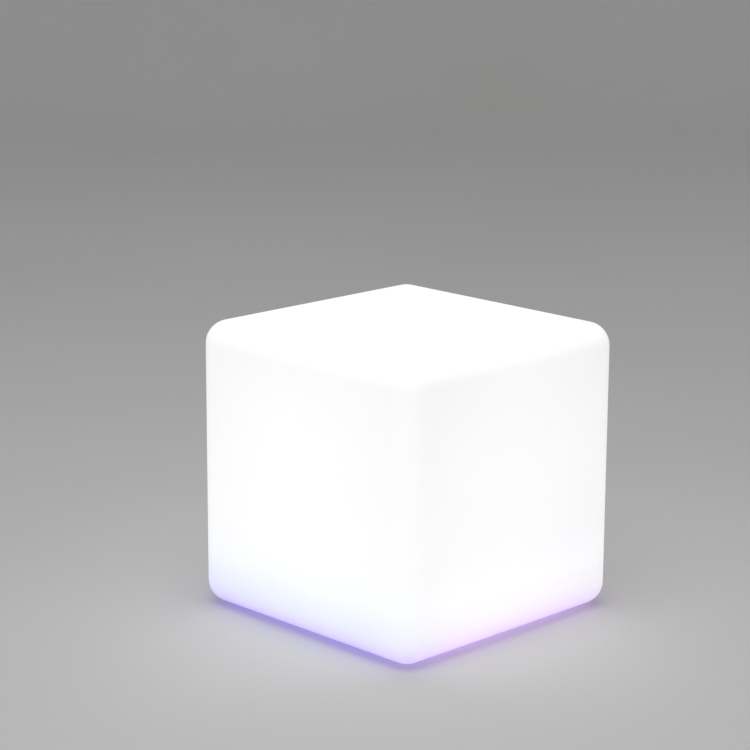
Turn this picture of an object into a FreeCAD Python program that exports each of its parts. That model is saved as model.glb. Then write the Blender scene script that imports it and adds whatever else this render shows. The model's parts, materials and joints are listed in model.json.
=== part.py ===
"""A glowing cube seat for the garden.

A hollow moulded cube of translucent polyethylene stands on four rubber feet.
A lamp unit is bolted up into a round recess in its underside: a black base
plate with the switch, charging socket and charge lamp, and on it a sealed
housing with the battery, the controller and a ring of lights under a dome.

Millimetres, +Z up. The origin is on the floor, under the middle of the cube,
and the cube's sides face along X and Y.
"""
import FreeCAD, Part
import math
import os
import re
import Sketcher

Vector = FreeCAD.Vector

# ---------------------------------------------------------------------------
# Driving sizes: millimetres, counts of repeated pieces and the clearances
# ---------------------------------------------------------------------------
SIZES = {
    # clearances
    "fit_gap": 0.05,  # radial, between pieces that fit closely or run in each other
    "hole_gap": 0.2,  # radial, round screws and barrels in their holes
    "seat_gap": 0.3,  # between soft or sliding pieces and what they face
    "screw_end_gap": 0.5,  # between a screw's tip and the end of its hole
    # moulded cube
    "side": 400,
    "shell_height": 394,
    "edge_radius": 32,
    "wall": 4,
    "recess_depth": 18,
    "recess_taper": 1.5,
    "recess_lip": 2.5,
    "recess_corner": 2,
    "ledge_width": 27.5,
    # rubber feet, bonded into shallow sockets
    "foot_radius": 11,
    "foot_height": 4,
    "foot_seat": 1.5,
    "foot_inset": 50,
    "foot_bevel": 1,
    # screws that hold the base plate to the cube, and their moulded-in inserts
    "plate_screw_count": 6,
    "plate_screw_radius": 2,
    "plate_screw_inset": 10,
    "insert_radius": 3.5,
    "insert_length": 9,
    "insert_boss_radius": 7,
    # base plate and its gasket
    "plate_thickness": 4,
    "plate_edge": 0.8,
    "plate_gap": 5.5,
    "gasket_thickness": 1.5,
    "gasket_lap": 4,
    "gasket_inset": 2,
    # lamp housing
    "housing_radius": 62,
    "housing_wall": 2.5,
    "housing_ceiling": 3,
    "housing_edge": 2,
    "housing_seal_thickness": 1,
    "neck_gap": 4,
    "housing_screw_radius": 1.5,
    "housing_screw_inset": 6,
    "housing_boss_radius": 4.5,
    "housing_boss_height": 14,
    # lights
    "spreader_inset": 10,
    "spreader_thickness": 3,
    "light_board_inset": 2,
    "board_thickness": 1.6,
    "chip_width": 5,
    "chip_height": 1.6,
    "chip_inset": 14,
    "chip_row_spacing": 18,
    "inner_chip_count": 8,
    "outer_chip_count": 16,
    "board_screw_inset": 5,
    "lead_hole_radius": 2.2,
    "receiver_width": 6,
    "receiver_depth": 5,
    "receiver_height": 4,
    # dome over the lights
    "dome_wall": 2,
    "dome_height": 30,
    "dome_rounding": 22,
    "dome_gap": 1,
    "dome_rim_thickness": 2.5,
    "dome_rim_inset": 1,
    "dome_seal_thickness": 1,
    "dome_screw_inset": 4,
    "dome_boss_radius": 3.5,
    "dome_boss_height": 8,
    # battery
    "cell_radius": 9.2,
    "cell_length": 65,
    "cell_gap": 0.2,
    "strip_thickness": 0.3,
    "strip_width": 8,
    "battery_board_thickness": 1,
    "battery_board_width": 52,
    "battery_board_height": 14,
    "tray_margin": 5,
    "tray_thickness": 2,
    "tray_clearance": 1.4,
    "tray_post_length": 26,
    "tray_post_gap": 2.2,
    "post_radius": 3.5,
    "lip_height": 6,
    "lip_thickness": 1.5,
    "side_lip_length": 56,
    "end_lip_length": 40,
    "strap_width": 15,
    "strap_thickness": 1,
    # controller
    "controller_length": 70,
    "controller_width": 56,
    "controller_post_height": 19.5,
    "controller_post_inset": 4,
    "small_screw_radius": 1.25,
    "small_screw_length": 8,
    "processor_width": 7,
    "processor_height": 1.2,
    "receiver_chip_width": 5,
    "receiver_chip_height": 1,
    "driver_length": 5,
    "driver_width": 6,
    "driver_height": 1.5,
    "coil_width": 8,
    "coil_height": 4,
    "capacitor_radius": 3.1,
    "capacitor_height": 7,
    "connector_length": 8,
    "connector_width": 6,
    "connector_height": 6,
    "connector_inset": 1,
    # switch in the base plate
    "control_offset": 28,
    "panel_seal_thickness": 0.8,
    "bezel_rim": 3,
    "bezel_thickness": 2,
    "switch_wall": 0.8,
    "switch_barrel_length": 15.3,
    "switch_bore_depth": 4.3,
    "nut_rim": 3,
    "switch_nut_thickness": 3,
    "button_radius": 4.6,
    "button_proud": 2,
    "button_travel": 2,
    "button_shoulder": 0.6,
    "button_collar": 1.5,
    "button_stem_radius": 2,
    "contact_depth": 4,
    "contact_cap": 1.5,
    "terminal_radius": 0.6,
    "terminal_length": 2.7,
    "terminal_spacing": 5,
    "spring_radius": 3.4,
    "spring_wire_radius": 0.35,
    "spring_turns": 5,
    # charging socket in the base plate
    "socket_rim": 1.55,
    "socket_head_thickness": 2,
    "socket_wall": 1.1,
    "socket_barrel_length": 12,
    "socket_bore_radius": 2.85,
    "socket_bore_depth": 9.5,
    "socket_nut_thickness": 2,
    "socket_pin_radius": 1.05,
    "socket_pin_recess": 1.6,
    "socket_pin_step": 0.25,
    "socket_pin_tail": 0.5,
    "insulator_cap": 1,
    "tab_thickness": 0.5,
    "tab_width": 2.4,
    "tab_height": 3.5,
    "tab_spacing": 3.8,
    # cover that swivels over the socket
    "cover_arm": 13,
    "cover_radius": 7,
    "cover_thickness": 1.8,
    "cover_boss_radius": 4,
    "cover_neck_width": 7,
    "cover_rib_length": 6,
    "cover_rib_width": 1.4,
    "cover_rib_height": 1.2,
    "cover_washer_thickness": 0.4,
    "cover_shoulder_radius": 2,
    "cover_thread_length": 6,
    "cover_head_radius": 3.6,
    "cover_head_height": 1.8,
    # charge lamp and vent
    "lens_offset": 20,
    "lens_radius": 1.5,
    "lens_head_radius": 3,
    "lens_head_thickness": 0.8,
    "indicator_length": 3,
    "indicator_width": 1.6,
    "indicator_height": 1,
    "vent_offset": 30,
    "vent_head_radius": 5,
    "vent_head_thickness": 1.5,
    "vent_shank_radius": 2.9,
    "vent_barb": 0.5,
    "vent_bore_radius": 1,
    # leads
    "lead_radius": 1,
}

doc = FreeCAD.newDocument("GlowingCube")
sheet = doc.addObject("Spreadsheet::Sheet", "Sizes")
for row, (alias, size) in enumerate(SIZES.items(), start=1):
    sheet.set(f"A{row}", alias)
    sheet.set(f"B{row}", str(size))
    sheet.setAlias(f"B{row}", alias)
doc.recompute()

# ---------------------------------------------------------------------------
# Heights and radii that follow from the driving sizes, as sheet expressions
# ---------------------------------------------------------------------------
NECK_RADIUS = "(housing_radius + neck_gap)"
CEILING_RADIUS = f"({NECK_RADIUS} + ledge_width)"
MOUTH_RADIUS = f"({CEILING_RADIUS} + recess_taper)"
PLATE_RADIUS = f"({CEILING_RADIUS} - plate_gap)"
PLATE_SCREW_CIRCLE = f"({PLATE_RADIUS} - plate_screw_inset)"
HOUSING_SCREW_CIRCLE = "(housing_radius - housing_screw_inset)"
DOME_SCREW_CIRCLE = "(housing_radius - dome_screw_inset)"
SPREADER_RADIUS = "(housing_radius - spreader_inset)"
LIGHT_BOARD_RADIUS = f"({SPREADER_RADIUS} - light_board_inset)"
BOARD_SCREW_CIRCLE = f"({LIGHT_BOARD_RADIUS} - board_screw_inset)"
OUTER_CHIP_CIRCLE = f"({LIGHT_BOARD_RADIUS} - chip_inset)"
DOME_INNER_RADIUS = f"({SPREADER_RADIUS} + dome_gap)"
DOME_RIM_RADIUS = "(housing_radius - dome_rim_inset)"

LEDGE_UNDERSIDE = "(foot_height + recess_depth)"
LEDGE_TOP = f"({LEDGE_UNDERSIDE} + wall)"
PLATE_TOP = f"({LEDGE_UNDERSIDE} - gasket_thickness)"
PLATE_UNDERSIDE = f"({PLATE_TOP} - plate_thickness)"
HOUSING_RIM = f"({PLATE_TOP} + housing_seal_thickness)"
CONTROLLER_UNDERSIDE = f"({PLATE_TOP} + controller_post_height)"
CONTROLLER_TOP = f"({CONTROLLER_UNDERSIDE} + board_thickness)"
TRAY_UNDERSIDE = f"({CONTROLLER_TOP} + capacitor_height + tray_clearance)"
TRAY_TOP = f"({TRAY_UNDERSIDE} + tray_thickness)"
CELL_AXIS = f"({TRAY_TOP} + cell_radius)"
HOUSING_CEILING = f"({TRAY_TOP} + tray_post_length)"
HOUSING_TOP = f"({HOUSING_CEILING} + housing_ceiling)"
SPREADER_TOP = f"({HOUSING_TOP} + spreader_thickness)"
LIGHT_BOARD_TOP = f"({SPREADER_TOP} + board_thickness)"
DOME_SEAT = f"({HOUSING_TOP} + dome_seal_thickness)"
DOME_RIM_TOP = f"({DOME_SEAT} + dome_rim_thickness)"
DOME_TOP = f"({DOME_SEAT} + dome_height)"
PANEL_SEAT = f"({PLATE_UNDERSIDE} - panel_seal_thickness)"
BEZEL_UNDERSIDE = f"({PANEL_SEAT} - bezel_thickness)"
SWITCH_STOP = f"({BEZEL_UNDERSIDE} + switch_bore_depth)"
SWITCH_TOP = f"({PANEL_SEAT} + switch_barrel_length)"
CONTACT_FACE = f"({SWITCH_TOP} - contact_depth)"
CONTACT_TOP = f"({SWITCH_TOP} + contact_cap)"
COLLAR_UNDERSIDE = f"({SWITCH_STOP} + fit_gap)"
COLLAR_TOP = f"({COLLAR_UNDERSIDE} + button_collar)"
SOCKET_UNDERSIDE = f"({PANEL_SEAT} - socket_head_thickness)"
SOCKET_TOP = f"({PANEL_SEAT} + socket_barrel_length)"
SOCKET_FLOOR = f"({SOCKET_UNDERSIDE} + socket_bore_depth)"
INSULATOR_TOP = f"({SOCKET_TOP} + insulator_cap)"
COVER_TOP = f"({SOCKET_UNDERSIDE} - seat_gap)"
COVER_UNDERSIDE = f"({COVER_TOP} - cover_thickness)"
COVER_BOSS_UNDERSIDE = f"({COVER_TOP} + fit_gap)"
WASHER_TOP = f"({COVER_UNDERSIDE} - fit_gap)"
WASHER_UNDERSIDE = f"({WASHER_TOP} - cover_washer_thickness)"

SWITCH_CHAMBER = "(button_radius + button_shoulder)"
SWITCH_BARREL = f"({SWITCH_CHAMBER} + switch_wall)"
BEZEL_RADIUS = f"({SWITCH_BARREL} + bezel_rim)"
SOCKET_BARREL = "(socket_bore_radius + socket_wall)"
SOCKET_HEAD_RADIUS = f"({SOCKET_BARREL} + socket_rim)"
PIN_ROOT_RADIUS = "(socket_pin_radius + socket_pin_step)"

PLATE_SCREW_LENGTH = "(plate_thickness + gasket_thickness + insert_length - screw_end_gap)"
HOUSING_HOLE_DEPTH = "(housing_boss_height - housing_wall)"
HOUSING_SCREW_LENGTH = (
    f"(plate_thickness + housing_seal_thickness + {HOUSING_HOLE_DEPTH} - screw_end_gap)"
)

CELL_SPACING = "(2 * cell_radius + cell_gap)"
PACK_HALF_WIDTH = f"({CELL_SPACING} + cell_radius)"
STRIP_FACE = "(cell_length / 2 + strip_thickness)"
BATTERY_BOARD_FACE = f"({STRIP_FACE} + battery_board_thickness)"
END_LIP_X = f"({BATTERY_BOARD_FACE} + seat_gap)"
SIDE_LIP_Y = f"({PACK_HALF_WIDTH} + seat_gap)"
STRAP_Y = f"({SIDE_LIP_Y} + lip_thickness + hole_gap)"
TRAY_POST_X = "(cell_length / 2 + post_radius)"
TRAY_POST_Y = f"({PACK_HALF_WIDTH} + tray_post_gap)"
TRAY_LENGTH = f"(2 * ({TRAY_POST_X} + tray_margin))"
TRAY_WIDTH = f"(2 * ({TRAY_POST_Y} + tray_margin))"

# where the switch, the socket and the other controls stand on the base plate
SWITCH = ("control_offset", "0")
SOCKET = ("-control_offset", "0")
COVER_PIVOT = ("-control_offset", "cover_arm")
LENS = ("0", "-lens_offset")
VENT = ("0", "vent_offset")
LEAD_HOLE = ("0", f"-{BOARD_SCREW_CIRCLE}")
MIDDLE = ("0", "0")

WORDS = re.compile(r"\b(" + "|".join(SIZES) + r")\b")


def linked(text):
    """The expression with each size written as a cell of the sheet."""
    return WORDS.sub(r"Sizes.\1", text)


def value(text):
    """What an expression of the sheet's sizes comes to."""
    return float(sheet.evalExpression(text))


def bind(thing, setting, text):
    """Tie a setting of an object to an expression of the sheet's sizes."""
    thing.setExpression(setting, linked(text))


# ---------------------------------------------------------------------------
# Sketches
# ---------------------------------------------------------------------------
def origin_part(part, role):
    return next(item for item in part.Origin.OriginFeatures if item.Role == role)


def sketch(part, level="0", plane="XY_Plane"):
    """An empty sketch on a plane of the body's origin, raised along its normal."""
    drawing = part.newObject("Sketcher::SketchObject", "Sketch")
    drawing.AttachmentSupport = [(origin_part(part, plane), "")]
    drawing.MapMode = "FlatFace"
    bind(drawing, "AttachmentOffset.Base.z", level)
    return drawing


def place(drawing, item, point, x, y):
    """Hold a point of a sketch at x, y from the sketch's origin."""
    for kind, text in (("DistanceX", x), ("DistanceY", y)):
        rule = Sketcher.Constraint(kind, -1, 1, item, point, value(text))
        number = drawing.addConstraint(rule)
        bind(drawing, f"Constraints[{number}]", text)


def outline(drawing, corners):
    """A closed run of straight lines through the corners."""
    spots = [Vector(value(x), value(y), 0) for x, y in corners]
    following = spots[1:] + spots[:1]
    lines = [
        drawing.addGeometry(Part.LineSegment(start, end), False)
        for start, end in zip(spots, following)
    ]
    for line, after in zip(lines, lines[1:] + lines[:1]):
        drawing.addConstraint(Sketcher.Constraint("Coincident", line, 2, after, 1))
    for line, (x, y) in zip(lines, corners):
        place(drawing, line, 1, x, y)


def rectangle(drawing, low_x, low_y, high_x, high_y):
    outline(drawing, [(low_x, low_y), (high_x, low_y), (high_x, high_y), (low_x, high_y)])


def centred(drawing, length, width, x="0", y="0"):
    """A rectangle about x, y."""
    rectangle(
        drawing,
        f"{x} - ({length}) / 2",
        f"{y} - ({width}) / 2",
        f"{x} + ({length}) / 2",
        f"{y} + ({width}) / 2",
    )


def circle(drawing, radius, x="0", y="0"):
    middle = Vector(value(x), value(y), 0)
    round_line = Part.Circle(middle, Vector(0, 0, 1), value(radius))
    item = drawing.addGeometry(round_line, False)
    place(drawing, item, 3, x, y)
    number = drawing.addConstraint(Sketcher.Constraint("Radius", item, value(radius)))
    bind(drawing, f"Constraints[{number}]", radius)


def hexagon(drawing, radius):
    outline(
        drawing,
        [(f"{radius} * cos({60 * k})", f"{radius} * sin({60 * k})") for k in range(6)],
    )


def plus_sign(drawing, span, x, y):
    """The cross of a screw's drive, whose blades are a third of its span wide."""
    far = f"({span} / 2)"
    near = f"({span} / 6)"
    arm = [(far, f"-{near}"), (far, near), (near, near)]
    corners = []
    for _ in range(4):
        corners += arm
        arm = [(f"-({b})", a) for a, b in arm]
    outline(drawing, [(f"{x} + {a}", f"{y} + {b}") for a, b in corners])


# ---------------------------------------------------------------------------
# Places that repeat
# ---------------------------------------------------------------------------
def four_corners(x, y):
    """The four points at plus and minus x and y."""
    return [(x, y), (f"-{x}", y), (f"-{x}", f"-{y}"), (x, f"-{y}")]


def diagonals(radius):
    """The four points on the diagonals at a radius."""
    reach = f"({radius} * cos(45))"
    return four_corners(reach, reach)


def plate_screw_places():
    return [
        (
            f"({PLATE_SCREW_CIRCLE} * cos({k} * 360 / plate_screw_count))",
            f"({PLATE_SCREW_CIRCLE} * sin({k} * 360 / plate_screw_count))",
        )
        for k in range(SIZES["plate_screw_count"])
    ]


def foot_places():
    return diagonals("((side / 2 - foot_inset) * sqrt(2))")


def housing_screw_places():
    return diagonals(HOUSING_SCREW_CIRCLE)


def controller_post_places():
    return four_corners(
        "(controller_length / 2 - controller_post_inset)",
        "(controller_width / 2 - controller_post_inset)",
    )


def tray_post_places():
    return four_corners(TRAY_POST_X, TRAY_POST_Y)


def board_screw_places():
    return diagonals(BOARD_SCREW_CIRCLE)


def dome_screw_places():
    return diagonals(DOME_SCREW_CIRCLE)


# ---------------------------------------------------------------------------
# Solids
# ---------------------------------------------------------------------------
kept = []


def body(label, x="0", y="0"):
    """Start a sub-part whose own axis stands at x, y. Its label names its file."""
    part = doc.addObject("PartDesign::Body", label)
    part.Label = label
    bind(part, "Placement.Base.x", x)
    bind(part, "Placement.Base.y", y)
    kept.append(part)
    return part


def ready_part(label, shape, x="0", y="0"):
    """A sub-part from a shape that is ready made."""
    part = doc.addObject("Part::Feature", label)
    part.Label = label
    part.Shape = shape
    part.Placement = FreeCAD.Placement(Vector(value(x), value(y), 0), FreeCAD.Rotation())
    kept.append(part)


def pad(part, drawing, height):
    solid = part.newObject("PartDesign::Pad", "Pad")
    solid.Profile = drawing
    bind(solid, "Length", height)
    return solid


def pocket(part, drawing, depth, upward=True):
    """Cut a sketch's outline out of the body, upward from the sketch or downward."""
    hole = part.newObject("PartDesign::Pocket", "Pocket")
    hole.Profile = drawing
    hole.Reversed = upward
    bind(hole, "Length", depth)
    return hole


def disc(part, level, height, radius, x="0", y="0"):
    drawing = sketch(part, level)
    circle(drawing, radius, x, y)
    return pad(part, drawing, height)


def ring(part, level, height, outer, inner):
    drawing = sketch(part, level)
    circle(drawing, outer)
    circle(drawing, inner)
    return pad(part, drawing, height)


def block(part, level, height, length, width, x="0", y="0"):
    drawing = sketch(part, level)
    centred(drawing, length, width, x, y)
    return pad(part, drawing, height)


def studs(part, level, height, radius, places):
    """Round posts at several places."""
    drawing = sketch(part, level)
    for x, y in places:
        circle(drawing, radius, x, y)
    return pad(part, drawing, height)


def drill(part, level, depth, radius, places, upward=True):
    """Round holes at several places."""
    drawing = sketch(part, level)
    for x, y in places:
        circle(drawing, radius, x, y)
    return pocket(part, drawing, depth, upward)


def turned_sketch(part, profile, x="0", y="0"):
    """A profile of (radius, height) points beside its axis, the upright line at x, y.

    The axis is drawn from the height of the first point to that of the last.
    """
    drawing = sketch(part, f"-({y})", "XZ_Plane")
    outline(drawing, [(f"{x} + {radius}", height) for radius, height in profile])
    low, high = profile[0][1], profile[-1][1]
    axis = Part.LineSegment(
        Vector(value(x), value(low), 0),
        Vector(value(x), value(high), 0),
    )
    item = drawing.addGeometry(axis, True)
    place(drawing, item, 1, x, low)
    place(drawing, item, 2, x, high)
    return drawing


def spin(part, kind, drawing):
    """Turn a profile round its own axis, to add a solid or to cut one out."""
    solid = part.newObject(f"PartDesign::{kind}", kind)
    solid.Profile = drawing
    solid.ReferenceAxis = (drawing, ["Axis0"])
    solid.Angle = 360
    return solid


def turned(part, profile, x="0", y="0"):
    """A solid of revolution."""
    return spin(part, "Revolution", turned_sketch(part, profile, x, y))


def around(part, features, count):
    """Repeat features about the body's own upright axis."""
    pattern = part.newObject("PartDesign::PolarPattern", "Around")
    pattern.Originals = features
    pattern.Axis = (origin_part(part, "Z_Axis"), [""])
    pattern.Angle = 360
    bind(pattern, "Occurrences", count)
    part.Tip = pattern


def in_four_corners(part, features):
    """Repeat features that stand in one corner in the other three."""
    copies = part.newObject("PartDesign::MultiTransform", "FourCorners")
    mirrors = []
    for role in ("YZ_Plane", "XZ_Plane"):
        mirror = part.newObject("PartDesign::Mirrored", "Mirror")
        mirror.MirrorPlane = (origin_part(part, role), [""])
        mirrors.append(mirror)
    copies.Originals = features
    copies.Transformations = mirrors
    part.Tip = copies


def is_circle(edge, radius, height):
    """Whether an edge is a level circle of a radius and at a height, where these are given."""
    near = 1e-4
    if edge.Degenerated or edge.Curve.TypeId != "Part::GeomCircle":
        return False
    right_radius = radius is None or abs(edge.Curve.Radius - value(radius)) < near
    right_height = height is None or abs(edge.Curve.Center.z - value(height)) < near
    return right_radius and right_height


def ease(part, solid, size, kind="Fillet", radius=None, height=None):
    """Round or bevel the level circles of a solid that have the radius and height given."""
    doc.recompute()
    names = [
        f"Edge{number}"
        for number, edge in enumerate(solid.Shape.Edges, start=1)
        if is_circle(edge, radius, height)
    ]
    finish = part.newObject(f"PartDesign::{kind}", kind)
    finish.Base = (solid, names)
    bind(finish, "Radius" if kind == "Fillet" else "Size", size)
    return finish


def round_upright(part, solid, radius):
    """Round a plate's upright corners."""
    doc.recompute()
    names = [
        f"Edge{number}"
        for number, edge in enumerate(solid.Shape.Edges, start=1)
        if abs(edge.tangentAt(edge.FirstParameter).z) > 0.5
    ]
    finish = part.newObject("PartDesign::Fillet", "Corners")
    finish.Base = (solid, names)
    bind(finish, "Radius", radius)


def round_all(part, solid, radius):
    finish = part.newObject("PartDesign::Fillet", "Rounded")
    finish.Base = (solid, ["Edge1"])
    finish.UseAllEdges = True
    bind(finish, "Radius", radius)


def screws(label, spot, seat, radius, length, head_below, count=None):
    """Pan head screws with a cross drive: a count of them around, or one in each corner."""
    part = body(label)
    outward, inward = ("-", "+") if head_below else ("+", "-")
    head_radius = f"(1.9 * {radius})"
    head_height = f"(1.3 * {radius})"
    bevel = f"({head_height} / 3)"
    top = f"({seat} {outward} {head_height})"
    tip = f"({seat} {inward} {length})"
    profile = [
        ("0", top),
        (f"({head_radius} - {bevel})", top),
        (head_radius, f"({top} {inward} {bevel})"),
        (head_radius, seat),
        (radius, seat),
        (radius, tip),
        ("0", tip),
    ]
    first = turned(part, profile, *spot)
    drawing = sketch(part, top)
    plus_sign(drawing, head_radius, *spot)
    drive = pocket(part, drawing, f"{head_height} / 2", upward=head_below)
    if count:
        around(part, [first, drive], count)
    else:
        in_four_corners(part, [first, drive])


# ---------------------------------------------------------------------------
# The cube, its feet and its inserts
# ---------------------------------------------------------------------------
def cavity():
    """The air inside the cube, less the recess, its ledge and the insert bosses."""
    air = doc.addObject("PartDesign::Body", "cavity")
    floor = "(foot_height + wall)"
    width = "(side - 2 * wall)"
    rough = block(air, floor, "shell_height - 2 * wall", width, width)
    round_all(air, rough, "edge_radius - wall")
    drill(air, floor, "recess_depth", f"{MOUTH_RADIUS} + wall", [MIDDLE])
    drill(air, LEDGE_TOP, "insert_length", "insert_boss_radius", plate_screw_places())
    return air


def cube_shell():
    shell = body("cube_shell")
    rough = block(shell, "foot_height", "shell_height", "side", "side")
    round_all(shell, rough, "edge_radius")
    hollow = shell.newObject("PartDesign::Boolean", "Hollow")
    hollow.Type = "Cut"
    hollow.addObject(cavity())
    recess = [
        ("0", "foot_height"),
        (MOUTH_RADIUS, "foot_height"),
        (CEILING_RADIUS, LEDGE_UNDERSIDE),
        ("0", LEDGE_UNDERSIDE),
    ]
    spin(shell, "Groove", turned_sketch(shell, recess))
    drill(shell, LEDGE_UNDERSIDE, "wall", NECK_RADIUS, [MIDDLE])
    hole_radius = "(insert_radius + fit_gap)"
    drill(shell, LEDGE_UNDERSIDE, "insert_length", hole_radius, plate_screw_places())
    socket_radius = "(foot_radius + hole_gap)"
    sockets = drill(shell, "foot_height", "foot_seat", socket_radius, foot_places())
    lip = ease(shell, sockets, "recess_lip", radius=MOUTH_RADIUS, height="foot_height")
    ease(shell, lip, "recess_corner", radius=CEILING_RADIUS, height=LEDGE_UNDERSIDE)


def rubber_feet():
    feet = body("rubber_feet")
    pads = studs(feet, "0", "foot_height + foot_seat", "foot_radius", foot_places())
    ease(feet, pads, "foot_bevel", kind="Chamfer", height="0")


def screw_inserts():
    inserts = body("screw_inserts")
    bore = "(plate_screw_radius + fit_gap)"
    studs(inserts, LEDGE_UNDERSIDE, "insert_length", "insert_radius", plate_screw_places())
    drill(inserts, LEDGE_UNDERSIDE, "insert_length", bore, plate_screw_places())


# ---------------------------------------------------------------------------
# Base plate
# ---------------------------------------------------------------------------
def base_plate():
    plate = body("base_plate")
    flat = disc(plate, PLATE_UNDERSIDE, "plate_thickness", PLATE_RADIUS)
    ease(plate, flat, "plate_edge", radius=PLATE_RADIUS)
    posts = controller_post_places()
    studs(plate, PLATE_TOP, "controller_post_height", "post_radius", posts)
    boss_height = f"{PLATE_UNDERSIDE} - {COVER_BOSS_UNDERSIDE}"
    disc(plate, COVER_BOSS_UNDERSIDE, boss_height, "cover_boss_radius", *COVER_PIVOT)
    through = [
        ("plate_screw_radius + hole_gap", plate_screw_places()),
        ("housing_screw_radius + hole_gap", housing_screw_places()),
        (f"{SWITCH_BARREL} + hole_gap", [SWITCH]),
        (f"{SOCKET_BARREL} + hole_gap", [SOCKET]),
        ("lens_radius + fit_gap", [LENS]),
        ("vent_shank_radius + fit_gap", [VENT]),
    ]
    for radius, places in through:
        drill(plate, PLATE_UNDERSIDE, "plate_thickness", radius, places)
    post_hole = "(small_screw_radius + fit_gap)"
    drill(plate, CONTROLLER_UNDERSIDE, "small_screw_length", post_hole, posts, upward=False)
    pivot_hole = "(housing_screw_radius + fit_gap)"
    drill(plate, COVER_BOSS_UNDERSIDE, "cover_thread_length", pivot_hole, [COVER_PIVOT])


def plate_gasket():
    gasket = body("plate_gasket")
    outer = f"{PLATE_RADIUS} - gasket_inset"
    ring(gasket, PLATE_TOP, "gasket_thickness", outer, f"{NECK_RADIUS} + gasket_lap")
    hole = "(plate_screw_radius + hole_gap)"
    drill(gasket, PLATE_TOP, "gasket_thickness", hole, plate_screw_places())


def plate_screws():
    screws(
        "plate_screws",
        plate_screw_places()[0],
        PLATE_UNDERSIDE,
        "plate_screw_radius",
        PLATE_SCREW_LENGTH,
        head_below=True,
        count="plate_screw_count",
    )


# ---------------------------------------------------------------------------
# Lamp housing
# ---------------------------------------------------------------------------
def housing_seal():
    seal = body("housing_seal")
    inner = "housing_radius - housing_wall"
    ring(seal, PLATE_TOP, "housing_seal_thickness", "housing_radius", inner)


def lamp_housing():
    can = body("lamp_housing")
    inner = "(housing_radius - housing_wall)"
    outside = turned(
        can,
        [
            ("0", HOUSING_TOP),
            ("housing_radius", HOUSING_TOP),
            ("housing_radius", HOUSING_RIM),
            (inner, HOUSING_RIM),
            (inner, HOUSING_CEILING),
            ("0", HOUSING_CEILING),
        ],
    )
    ease(can, outside, "housing_edge", radius="housing_radius", height=HOUSING_TOP)
    studs(can, HOUSING_RIM, "housing_boss_height", "housing_boss_radius", housing_screw_places())
    dome_boss_low = f"({HOUSING_CEILING} - dome_boss_height)"
    studs(can, dome_boss_low, "dome_boss_height", "dome_boss_radius", dome_screw_places())
    studs(can, TRAY_TOP, "tray_post_length", "post_radius", tray_post_places())
    housing_hole = "(housing_screw_radius + fit_gap)"
    small_hole = "(small_screw_radius + fit_gap)"
    drill(can, HOUSING_RIM, HOUSING_HOLE_DEPTH, housing_hole, housing_screw_places())
    drill(can, TRAY_TOP, "small_screw_length", small_hole, tray_post_places())
    drill(can, HOUSING_TOP, "small_screw_length", small_hole, dome_screw_places(), upward=False)
    drill(can, HOUSING_CEILING, "housing_ceiling", housing_hole, board_screw_places())
    drill(can, HOUSING_CEILING, "housing_ceiling", "lead_hole_radius", [LEAD_HOLE])


def housing_screws():
    screws(
        "housing_screws",
        housing_screw_places()[0],
        PLATE_UNDERSIDE,
        "housing_screw_radius",
        HOUSING_SCREW_LENGTH,
        head_below=True,
    )


# ---------------------------------------------------------------------------
# Lights and dome
# ---------------------------------------------------------------------------
def light_disc(label, level, thickness, radius):
    """A round plate with the holes of the light board's screws and lead."""
    plate = body(label)
    disc(plate, level, thickness, radius)
    drill(plate, level, thickness, "housing_screw_radius + hole_gap", board_screw_places())
    drill(plate, level, thickness, "lead_hole_radius", [LEAD_HOLE])


def light_board_screws():
    screws(
        "light_board_screws",
        board_screw_places()[0],
        LIGHT_BOARD_TOP,
        "housing_screw_radius",
        "(board_thickness + spreader_thickness + housing_ceiling)",
        head_below=False,
    )


def light_chips():
    chips = body("light_chips")
    size = ("chip_height", "chip_width", "chip_width")
    inner_chip_circle = f"({OUTER_CHIP_CIRCLE} - chip_row_spacing)"
    inner = block(chips, LIGHT_BOARD_TOP, *size, inner_chip_circle)
    around(chips, [inner], "inner_chip_count")
    outer = block(chips, LIGHT_BOARD_TOP, *size, OUTER_CHIP_CIRCLE)
    around(chips, [outer], "outer_chip_count")


def remote_receiver():
    """An infrared receiver in the middle of the lights, with a round lens on top."""
    receiver = body("remote_receiver")
    block(receiver, LIGHT_BOARD_TOP, "receiver_height", "receiver_width", "receiver_depth")
    lens_level = f"({LIGHT_BOARD_TOP} + receiver_height)"
    lens_radius = "(receiver_depth * 0.4)"
    lens_height = "(receiver_depth * 0.25)"
    lens = disc(receiver, lens_level, lens_height, lens_radius)
    top = f"{lens_level} + {lens_height}"
    ease(receiver, lens, "receiver_depth * 0.15", radius=lens_radius, height=top)


def dome_seal():
    seal = body("dome_seal")
    ring(seal, HOUSING_TOP, "dome_seal_thickness", DOME_RIM_RADIUS, DOME_INNER_RADIUS)
    hole = "(small_screw_radius + hole_gap)"
    drill(seal, HOUSING_TOP, "dome_seal_thickness", hole, dome_screw_places())


def diffuser_dome():
    dome = body("diffuser_dome")
    outer = f"({DOME_INNER_RADIUS} + dome_wall)"
    ceiling = f"({DOME_TOP} - dome_wall)"
    cap = turned(
        dome,
        [
            ("0", DOME_TOP),
            (outer, DOME_TOP),
            (outer, DOME_RIM_TOP),
            (DOME_RIM_RADIUS, DOME_RIM_TOP),
            (DOME_RIM_RADIUS, DOME_SEAT),
            (DOME_INNER_RADIUS, DOME_SEAT),
            (DOME_INNER_RADIUS, ceiling),
            ("0", ceiling),
        ],
    )
    crown = ease(dome, cap, "dome_rounding", radius=outer, height=DOME_TOP)
    inside = "dome_rounding - dome_wall"
    ease(dome, crown, inside, radius=DOME_INNER_RADIUS, height=ceiling)
    hole = "(small_screw_radius + hole_gap)"
    drill(dome, DOME_SEAT, "dome_rim_thickness", hole, dome_screw_places())


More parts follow.
